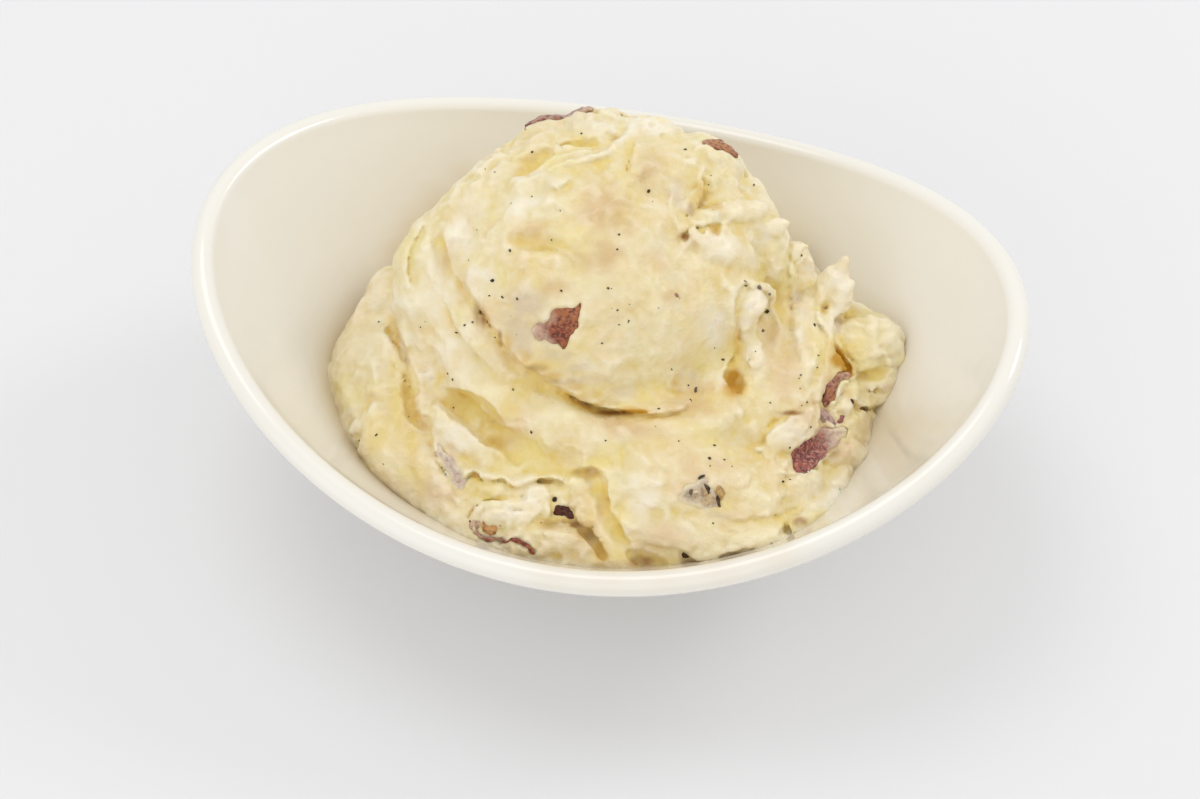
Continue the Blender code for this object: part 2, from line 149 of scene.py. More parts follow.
# Strokes on the face: what, kind, lift off the surface, blend, then across, up and radius along the route
RIDGE, GROOVE = "ridge", "groove"
STROKES = (
    # Dollop
    ("filling under the dollop", RIDGE, -4, 3, (
        (-38, 37, 6), (-33, 29, 7), (-28, 21.5, 7), (-22.5, 15.5, 7), (-14, 10.5, 7), (-3, 6, 7),
        (8, 5, 7), (18, 7, 7), (26, 12, 6))),
    ("band against the dollop", RIDGE, -2, 0.8, (
        (-37.5, 44, 3), (-34.5, 38.7, 4), (-31.3, 34.6, 4.2), (-28.9, 31.2, 4.2), (-25.9, 27.1, 4),
        (-21.6, 21.3, 3))),
    ("shallow beside the dollop", GROOVE, 2.6, 1.5, ((-39, 51, 2.5), (-38, 46, 2.6), (-37, 41, 2.5))),
    ("slit in the fold", GROOVE, 0, 0.3, ((-29, 36, 0.6), (-27.5, 33.6, 0.9), (-26, 31.2, 0.7))),
    ("second slit", GROOVE, 0, 0.3, ((-24.4, 30.4, 0.5), (-23.9, 28.8, 0.7), (-23.5, 27.4, 0.5))),
    ("lip of the dollop", RIDGE, -3.1, 1.4, (
        (-20, 27, 3.5), (-14, 23.4, 4), (-8, 20.4, 4), (-2, 17.4, 4), (4, 16.2, 4), (10, 16.2, 4),
        (16, 18, 3.4))),
    ("arc of the hollow", GROOVE, 0.8, 1.0, (
        (-21.5, 51, 1.5), (-17, 50.6, 2), (-12.5, 49.6, 1.9), (-8.8, 48.4, 1.3), (-6.4, 46.6, 0.8))),
    ("swelling below the arc", RIDGE, -1.8, 1, ((-18, 46.5, 2.5), (-13, 45.8, 2.8), (-9, 44.5, 2.2))),
    ("filling right of the dollop", RIDGE, -4, 2.5, (
        (33, 62, 4), (34, 55, 6), (35.5, 47, 7.5), (36, 38, 8), (35, 29, 8), (33.5, 20, 7))),
    ("filling beside the slit", RIDGE, -4.7, 4, (
        (24, 52, 5.5), (26.5, 45, 6), (27.5, 38, 6), (27.5, 31, 6), (26.5, 24, 5.5), (24, 17, 5))),
    # Left
    ("top of the left lobe", RIDGE, -2.2, 1.5, ((-57, 33, 3.2), (-55, 36.2, 3.6), (-51, 38.6, 3.4))),
    ("left crack", GROOVE, 0.4, 0.4, (
        (-48.5, 34, 0.6), (-50, 31, 1), (-49.5, 28.5, 0.8), (-47.3, 26, 0.7), (-46.2, 23.4, 0.6))),
    ("left trough", GROOVE, 0.5, 0.4, (
        (-46, 20.5, 1.0), (-45.5, 17, 1.6), (-44.9, 13.5, 1.9), (-43.8, 10.5, 1.7), (-41.5, 8.6, 1.0),
        (-39.5, 8.2, 0.7))),
    ("recess on the left", GROOVE, 2.6, 0.9, (
        (-37.5, 16.5, 2.4), (-34, 15, 3.9), (-30.5, 13, 4.3), (-27, 10, 4), (-24, 6.5, 2.4))),
    ("tip of the ridge", RIDGE, -0.9, 0.4, ((-39.6, 11.6, 1.2), (-37.8, 11.4, 1.8), (-36, 9.8, 2))),
    ("ridge on the left", RIDGE, -2, 0.5, (
        (-37, 9.8, 3), (-34, 6.8, 4), (-30, 3.6, 4.2), (-26, 1.2, 3.8), (-21.5, -0.8, 2.6))),
    ("gap beside the ridge", GROOVE, 0.5, 0.5, (
        (-37.5, 3.6, 0.6), (-36.5, 2, 0.9), (-34.2, -1.5, 1.1), (-32.5, -4, 0.9))),
    ("lower left", RIDGE, -4, 1, ((-52, 8, 6), (-47, 1, 6.5), (-42, -5, 6), (-36, -9.5, 5))),
    ("lower left, inner", RIDGE, -2.4, 0.5, ((-42, 4, 3.2), (-40.5, -1.5, 4), (-36.5, -6, 3.8))),
    ("lower crack", GROOVE, 0.3, 0.3, (
        (-31, -1.7, 0.4), (-29, -1.8, 0.5), (-26, -2.8, 0.5), (-23, -3.2, 0.5), (-20, -4.2, 0.5))),
    ("knobs under the crack", RIDGE, -1.8, 0.4, (
        (-28, -5, 2.6), (-24.5, -5.4, 3.2), (-21.5, -6.4, 2.8))),
    ("knobs under the crack, right", RIDGE, -1.6, 0.4, (
        (-20, -6, 2.4), (-17.6, -5, 3), (-15.3, -5.8, 2.4))),
    # Front
    ("pale chip in front", RIDGE, -2.0, 0.35, (
        (-26.7, -12, 2.4), (-22, -11.2, 3.8), (-17, -10.6, 4.2), (-13.5, -10.6, 3.2))),
    ("groove above the chip", GROOVE, 0.2, 0.4, (
        (-31, -12.6, 0.7), (-29.8, -9.8, 1), (-26.5, -7.8, 1), (-22.5, -7.6, 0.8))),
    ("edge of the chip", RIDGE, -0.3, 0.4, (
        (-29, -12.2, 1), (-27.8, -10.3, 1.3), (-25.2, -9.1, 1.4), (-22, -9.2, 1.2))),
    ("front roll", RIDGE, -2.4, 0.5, (
        (-23, -16, 3.2), (-17, -16.5, 4.2), (-11, -16, 4.4), (-6, -17.5, 3.6))),
    ("front tongue", RIDGE, -1.8, 0.5, (
        (-6.5, -4.5, 3.4), (-5, -8, 3.6), (-3, -12, 3.2), (-0.5, -16, 3))),
    ("front hole", GROOVE, -0.1, 0.3, (
        (-12, -6.8, 0.6), (-11.5, -8.6, 0.9), (-10, -9.8, 1.4), (-8, -10.6, 1.2), (-6.8, -11.8, 0.8))),
    ("front crevice", GROOVE, -0.7, 0.3, (
        (-7.6, -12.2, 0.5), (-5, -13.3, 0.8), (-3.5, -15, 0.8), (-2, -17, 0.8), (-1, -19.5, 1))),
    ("right front slab", RIDGE, -11, 1.0, (
        (7, -5, 14), (16, -8.5, 17), (27, -10.5, 16), (38.5, -7.5, 12))),
    ("bulge at the slab's foot", RIDGE, -4.5, 2, (
        (8, -13.5, 5.5), (16, -15, 6.3), (25, -14.5, 6.3), (34, -11.5, 5.5))),
    ("slab's foot, right", RIDGE, -2.2, 1.2, (
        (29, -15.5, 3.4), (36, -14.2, 4.2), (43, -12, 4.2), (49, -9.3, 3.4))),
    ("mash against the wall", RIDGE, -0.8, 1.0, (
        (21, -19.4, 2.6), (28, -18.4, 3.2), (36, -16.2, 3.6), (44, -13, 3.8), (51, -9.2, 3.4),
        (55, -5.5, 2.6))),
    ("gap at the foot", GROOVE, -0.5, 0.3, (
        (5, -19, 0.8), (7, -20.3, 1.7), (9, -21.2, 1.7), (11.5, -21.8, 1.2))),
    ("gap at the foot, middle", GROOVE, -0.1, 0.3, (
        (16.8, -19.6, 0.6), (18, -20.8, 1), (20.5, -21.5, 0.9))),
    ("gap at the foot, right", GROOVE, -0.1, 0.3, (
        (25.5, -20, 0.6), (28.5, -19.2, 0.9), (31.8, -18.4, 0.6))),
    ("hole low on the right", GROOVE, -1.5, 0.3, (
        (44, -11, 0.8), (42.3, -11.8, 1.5), (40.8, -13.2, 1.3))),
    ("crease low on the right", GROOVE, 0.2, 0.3, (
        (38.5, -14.5, 0.6), (43, -11.6, 0.7), (47, -9.9, 0.7), (50.5, -8.3, 0.5))),
    # Right
    ("right chunk", RIDGE, -1.6, 0.35, (
        (37.5, 5.3, 3.4), (40.5, 7, 4), (44, 9, 3.4), (46.5, 10.8, 2.4))),
    ("line over the chunk", GROOVE, 0.1, 0.2, (
        (36, 8.6, 0.4), (38.5, 10.6, 0.6), (41, 11.8, 0.6), (43.5, 12.8, 0.5))),
    ("trench of the lower skin", GROOVE, 1.2, 0.5, (
        (41, -0.8, 1.9), (44, 1.8, 2.1), (47.5, 4.4, 2.1), (51.5, 6.3, 1.9))),
    ("trench of the upper skin", GROOVE, 1.2, 0.5, (
        (49.5, 8.5, 1.8), (49.5, 12, 1.8), (49.2, 15, 1.8), (51, 18.3, 1.7), (54, 20.5, 1.4))),
    ("sliver beside the skins", RIDGE, -0.7, 0.4, ((56, 18, 1.6), (54.6, 15.6, 2), (53.2, 12.6, 1.8))),
    ("right crumbs", RIDGE, -1.4, 0.35, ((50.5, 1.8, 2.4), (54, 2.4, 2.6), (56, 0.8, 2))),
    ("right crumbs, lower", RIDGE, -1.6, 0.4, ((52.5, -2, 2.8), (51.5, -5.5, 2.8))),
    ("white rib's head", RIDGE, -1.3, 0.6, (
        (35.6, 38.2, 2.2), (32.5, 37.6, 3.2), (31.4, 34.5, 3), (31.9, 31, 2.4))),
    ("white rib", RIDGE, -1.3, 0.6, ((32.2, 28.8, 2.2), (32.8, 26, 2.8), (33.6, 23.2, 2.4))),
    ("crumb left of the rib's head", RIDGE, -0.2, 0.2, (
        (29.2, 36, 0.8), (29.8, 37.6, 1), (30.4, 39.2, 0.7))),
    ("crumbs over the rib's head", RIDGE, 0, 0.2, ((31, 40.2, 0.8), (31.8, 41, 1), (33, 40.2, 0.7))),
    ("crumbs right of the rib's head", RIDGE, 0, 0.2, (
        (34.4, 40, 0.9), (35.6, 39.6, 1.1), (37, 38, 0.9))),
    ("rib's upper facet", RIDGE, -0.2, 0.2, ((32.4, 34.6, 1.2), (33.8, 35.6, 1.3), (35, 37, 0.9))),
    ("rib's lower crumb", RIDGE, -0.2, 0.2, ((31, 31.2, 0.9), (30.2, 29.8, 1), (31.4, 28.6, 0.8))),
    ("rib's foot, crumb", RIDGE, -0.2, 0.2, ((31.2, 24.6, 0.8), (32.2, 23, 1), (34, 22, 0.8))),
    ("slit", GROOVE, 0.1, 0.3, (
        (29.3, 32, 0.5), (29.4, 29.5, 1), (28.7, 27, 0.9), (28.2, 24.5, 0.8), (28.2, 21.5, 0.8))),
    ("hole under the slit", GROOVE, -1.1, 0.3, ((27.9, 20.6, 1.2), (28.5, 19.3, 1.9), (28.8, 18, 1.5))),
    ("right cleft", GROOVE, 1.5, 1.0, (
        (38.3, 41, 1.4), (39.3, 37.5, 2), (41, 34.6, 2), (42.3, 32.5, 1))),
    ("trough right of the rib", GROOVE, 1.2, 0.8, (
        (37.8, 33.5, 1.8), (37.5, 30, 2), (37.2, 26.5, 1.5))),
    ("right rib", RIDGE, -3.2, 1.2, ((44, 48, 4), (46, 40, 4.5), (46, 31, 4.5), (44.5, 22, 4))),
    ("right rib, outer", RIDGE, -2.0, 1.0, (
        (50.5, 40, 2.6), (50.3, 33, 2.8), (49.6, 26, 2.6), (48.5, 20, 2.4))),
    ("filling under the peak", RIDGE, -1.4, 0.8, ((51.5, 34.5, 2.2), (55.5, 35.6, 2.5), (59, 35.2, 2))),
    ("lobe's outer swelling", RIDGE, -2.2, 1.0, ((60.5, 31.6, 3), (64.6, 28.8, 3.4), (66.6, 24.4, 3))),
    ("low edge on the right", RIDGE, -1.2, 0.6, ((55.5, 3.4, 2.2), (58, 1, 2.6), (56.5, -2.6, 2.4))),
    ("lobe's cleft", GROOVE, 0.5, 0.5, (
        (52.5, 30, 1), (52.4, 27.2, 1.8), (53.5, 24.4, 2.3), (55.3, 21.8, 1.8))),
    ("lobe's crease", GROOVE, 0.1, 0.3, (
        (58.2, 20.2, 0.6), (60, 20.2, 1), (62.3, 20.6, 1), (64.5, 21.8, 0.6))),
    ("lobe's lower crease", GROOVE, 0.3, 0.4, ((58.5, 16.2, 0.6), (60.8, 16.8, 1), (63.2, 16.4, 0.8))),
    ("lobe's upper ridge", RIDGE, -0.9, 0.4, (
        (54.5, 31.6, 1.4), (57.5, 31.8, 1.9), (60.6, 30.6, 1.8), (63, 28.2, 1.4))),
    ("lobe's knob", RIDGE, -0.8, 0.4, ((62.5, 25.2, 1.6), (64.8, 23.6, 1.9))),
    ("under the lobe", GROOVE, 0.2, 0.3, ((56, 14.8, 0.8), (57.5, 12.8, 0.8), (61, 12.9, 0.7))),
    # Torn top right
    ("torn cleft", GROOVE, 0.7, 0.6, (
        (22.5, 66, 1.4), (21.6, 62.8, 2.1), (20.3, 60, 1.8), (19.4, 58.6, 1.2))),
    ("end of the cleft", GROOVE, 0, 0.25, ((19.6, 59, 0.5), (18.8, 57.6, 0.6), (18.2, 56.2, 0.6))),
    ("knob beside the cleft", RIDGE, -0.6, 0.35, ((15.8, 59.4, 1.5), (17.5, 58.1, 1.5))),
    ("torn shelf", RIDGE, -1.0, 0.35, (
        (19.5, 55.6, 1.4), (24, 56.4, 2.2), (29.5, 57.4, 2.4), (34.5, 58, 2.2))),
    ("swelling under the shelf", RIDGE, -3.1, 0.7, ((20.5, 48.5, 3.8), (26, 47.6, 4.6), (30, 46.5, 4))),
    ("under the torn shelf", GROOVE, 0.2, 0.25, (
        (16.4, 51.2, 0.6), (17.3, 51.3, 1), (18.5, 52.6, 0.7), (21, 53.5, 0.35))),
    ("short slit", GROOVE, 0.2, 0.3, ((32.3, 55.2, 0.5), (31.8, 53, 0.7), (31, 51.3, 0.5))),
    # Crown
    ("crown ridge", RIDGE, -1.3, 0.5, (
        (-20, 64.2, 1.8), (-15, 65.6, 2.4), (-11, 67.6, 2.6), (-6, 68.6, 2.6), (-2, 69.4, 2.4),
        (1, 71.4, 2.2), (3.5, 74, 2), (5.5, 77, 1.6))),
    ("pocket behind the ridge", GROOVE, 1.2, 0.7, ((-19.4, 67.8, 2), (-17, 69.4, 3), (-14, 71, 2.4))),
    ("pocket behind the ridge, right", GROOVE, 0.8, 0.5, (
        (-9.5, 73, 1.5), (-6.5, 73.4, 2), (-3, 74, 1.3))),
    ("crown nick", GROOVE, 0.2, 0.3, ((3.3, 78.6, 0.8), (3.6, 76.8, 0.7))),
    ("crown slit", GROOVE, 0.2, 0.3, ((5.4, 70.4, 0.7), (5, 66.8, 1))),
    ("crown dimple", GROOVE, 0.4, 0.4, ((-12.6, 62.9, 0.8), (-10.6, 64, 0.7))),
    ("crown fold", RIDGE, -1.0, 0.5, ((2, 59, 1.6), (4, 62.5, 1.7), (7, 65, 1.7), (10, 67, 1.6))),
)
# Peaks that stand up from the face: across and up at the foot, then the same again and a radius from there
PEAKS = (
    ((50.3, 38), ((0, 0, 3.6), (1.4, 3.6, 3.0), (3, 6.4, 1.9), (4.6, 9.0, 0.6))),
    ((53, 37), ((0, 0, 3.2), (0.8, 2.4, 2.4), (2.2, 3.8, 1.3), (3.0, 4.4, 0.6))),
    ((42.5, 48.6), ((0, 0, 2.4), (1.4, 1.0, 1.7), (3.0, 1.3, 0.7))),
    ((46.3, 45), ((0, 0, 2.2), (0.5, 1.8, 1.5), (0.6, 3.0, 0.7))),
    ((37.6, 54), ((0, 0, 2.2), (1.8, 0.8, 1.6), (3.8, 1.2, 0.6))),
)

# Edges where one sheet of mash lies over another: what, height, how far the sheet swells, how deep the
# undercut, then across and up along the edge, with the upper sheet on the left-hand side
STEPS = (
    ("dollop, left", 0.9, 3.5, 0.4, (
        (-38, 55), (-36.4, 50), (-35, 44), (-32.1, 40.5), (-28.9, 36.4), (-26.5, 33), (-23.5, 28.9),
        (-20.5, 25))),
    ("dollop, front", 1.9, 4.0, 0.8, (
        (-24.6, 29.6), (-22, 26), (-19, 22.7), (-15, 20.6), (-10, 17.5), (-5, 14.6), (0, 13), (5, 12.5),
        (9, 11.8), (13, 12), (17, 13), (20, 15.5))),
    ("left lobe", 1.1, 3.0, 0.2, (
        (-39.5, 9.3), (-41.5, 8.4), (-43.8, 9.8), (-45, 12), (-45.6, 16), (-45.2, 19.5), (-46.2, 23),
        (-47.8, 26.5), (-50, 28.5), (-51, 31), (-49, 34))),
    ("band beside the left lobe", 0.9, 3.0, 0.15, (
        (-47.5, 33), (-46.5, 27), (-44.3, 22), (-42.8, 17), (-42.4, 12.5), (-40, 10.5))),
    ("band's upper edge", 1.0, 3.0, 0.6, ((-44, 40), (-45.4, 43), (-45.2, 47), (-43, 52), (-41.5, 56))),
    ("ridge beside the recess", 1.5, 2.6, 0.4, (
        (-21.5, 1.5), (-23.3, 3.8), (-26.5, 4.8), (-28.6, 5.8), (-32.3, 9.4), (-35, 10.6),
        (-36.2, 12.4), (-38.2, 14), (-39.6, 13.4))),
    ("ridge's left edge", 1.0, 2.4, 0.3, (
        (-39.8, 9.5), (-38.9, 6.7), (-39, 3.7), (-37, 0), (-34.3, -3.5))),
    ("ridge's lower edge", 1.6, 2.6, 0.9, (
        (-32.5, -3.4), (-31.5, -2.3), (-29.6, -1.6), (-26.5, -2.8), (-24, -2.5), (-22.5, -3.4),
        (-20.4, -4), (-17.5, -3.6), (-14.5, -2.6), (-11, -2.9), (-8.5, -4))),
    ("upper edge of the recess", 0.7, 3.0, 0.3, (
        (-37.5, 17.5), (-33.5, 16.8), (-30, 14.5), (-26.5, 11), (-23, 9), (-20, 8))),
    ("front slab", 1.9, 4.0, 0.8, (
        (-9.4, -1.4), (-4.4, -0.2), (-1.2, -0.9), (-0.5, -3), (0, -5.3), (0.7, -8), (1.2, -10.3),
        (3.5, -14), (5.8, -19))),
    ("sheet beside the slab", 0.9, 2.2, 0.4, ((-8, -9.5), (-6, -12.5), (-2.3, -16), (0.7, -20.5))),
    ("lower front roll", 1.2, 2.4, 0.6, (
        (-2.6, -19), (-4.4, -16.6), (-6.5, -14.9), (-9, -14.3), (-11.8, -14.6))),
    ("pale chip", 1.5, 2.4, 0.7, ((-17, -9.8), (-21, -9.6), (-24, -9), (-26.4, -9.8), (-28.6, -11.8))),
    ("pale lump in the middle", 1.1, 2.0, 0.5, (
        (-12.5, -7.5), (-13.2, -4.6), (-15.5, -3.8), (-18, -5.2), (-18.2, -8))),
    ("right chunk", 1.6, 3.0, 0.8, (
        (48.4, 12.6), (46.5, 13.6), (43.8, 12.2), (41.4, 11.2), (39.6, 9.7), (37.3, 9), (36, 7.6),
        (35.2, 5), (33, 4.4), (32.6, 2.6))),
    ("sheet over the lower skin", 1.0, 3.0, 0.4, (
        (38, -1.5), (41, -1.9), (44, -1.6), (46.5, -0.4), (49, 1.6), (51.5, 3.4))),
    ("lower right fold", 1.0, 3.0, 0.5, (
        (52, -7), (48.5, -9.2), (44.5, -9.8), (40.8, -11.2), (39, -13.5))),
    ("crease in the slab", 0.6, 2.5, 0.3, (
        (24, -9.5), (28, -11.5), (33, -11), (38.5, -10.2), (43, -8.5))),
    ("foot of the slab", 0.9, 2.5, 0.5, ((7, -16.5), (11, -17), (15.5, -17.8), (18, -19.5))),
    ("white rib", 1.0, 2.6, 0.4, (
        (29.6, 21.5), (28.9, 24.5), (29.9, 27.5), (29.6, 31), (28.4, 34), (28.8, 37.5), (30.2, 40.2),
        (31.4, 40.9), (32.6, 39.8), (34, 40.2), (36, 39), (37.2, 37.8), (36.4, 35), (35, 32.5))),
    ("right rib", 0.6, 2.5, 0.3, (
        (42.4, 50), (41.8, 45), (42.3, 40), (42.6, 35.5), (42.4, 31), (43.5, 26), (45, 21))),
    ("outer rib", 0.7, 2.2, 0.3, (
        (48.2, 45), (48.6, 38), (48, 33), (50.3, 29.5), (49.8, 25), (48.5, 20), (47.3, 16))),
    ("right lobe", 1.3, 2.5, 0.7, (
        (49.5, 12.4), (52.2, 14.6), (54.2, 18.2), (57.4, 20.6), (56.2, 23.6), (54, 26), (53, 30))),
    ("right lobe, lower edge", 1.0, 2.0, 0.6, ((55.2, 15.6), (57.5, 13.6), (61, 13.2), (65, 14))),
    ("shelf", 1.0, 2.4, 0.3, (
        (18.4, 53.6), (20, 54.3), (22, 54.1), (24, 54.6), (26, 54.4), (28.5, 55.3), (31, 55),
        (34, 56.5))),
    ("teeth", 0.9, 2.8, 0.2, (
        (35, 51.5), (31.4, 52.2), (28.6, 51.8), (27.4, 53.2), (26, 54), (25, 52), (23.9, 51.9),
        (22.6, 53.6), (21.5, 51.7), (20.2, 51.9), (19, 53.3), (17.9, 51.5), (18.6, 48))),
    ("right of the cleft", 0.9, 2.6, 0.3, ((18.8, 55.8), (20.3, 59), (22, 62), (23.4, 66))),
    ("left of the cleft", 0.9, 2.6, 0.3, ((20.6, 67), (19.8, 63), (17.8, 60.3), (16.4, 57.5))),
    ("crown ridge", 1.4, 2.6, 0.7, (
        (6, 77.5), (4.2, 75.4), (1.6, 73.2), (-0.5, 71.2), (-3, 70.2), (-6, 69.2), (-9.5, 68.6),
        (-12.5, 67.6), (-15.5, 65.6), (-19, 64.6), (-22, 65.5))),
    ("crown, right slit", 1.0, 2.0, 0.6, ((6.2, 74), (5.9, 71), (5.2, 68), (4.6, 65.5))),
    ("crown, left swelling", 0.9, 2.2, 0.4, ((-14, 64.2), (-12, 62.4), (-9.5, 63.2), (-7.5, 65))),
    ("arc on the dollop", 0.6, 3.0, 0.3, (
        (-17, 49.2), (-12.8, 48.6), (-9.6, 47.4), (-7.4, 45.6), (-6.6, 43.8))),
    ("dollop, top right", 0.6, 3.0, 0.2, ((14.5, 62.5), (13.8, 58), (15.5, 53), (16.5, 48))),
)

# Where the mash is torn rather than smoothed: x, y, z and reach
TORN_PLACES = (
    (24, 22, 70, 11), (0, 40, 76, 12), (-46, -12, 40, 10), (-14, -52, 38, 13), (50, -24, 42, 11),
    (-36, -40, 34, 8), (62, 0, 38, 8), (-24, 28, 72, 10), (10, 40, 76, 9), (33, 3, 55, 6),
    (53, 12, 46, 7),
)

# Where the painted shade and reflected mash colour on the bowl's wall is stronger: across, up, reach and
# strength
WALL_SHADE_PLACES = (
    (-49, 50, 4, 0.3), (-45, 56, 4.5, 0.3), (-40, 62, 4.5, 0.3), (-34, 68, 4, 0.25), (66, 9, 4.5, 0.35),
    (64, 3, 4, 0.25), (-12, -22, 6, 0.15), (0, -23, 6, 0.15), (12, -23, 6, 0.15), (24, -21, 6, 0.15),
    (36, -18, 6, 0.15))

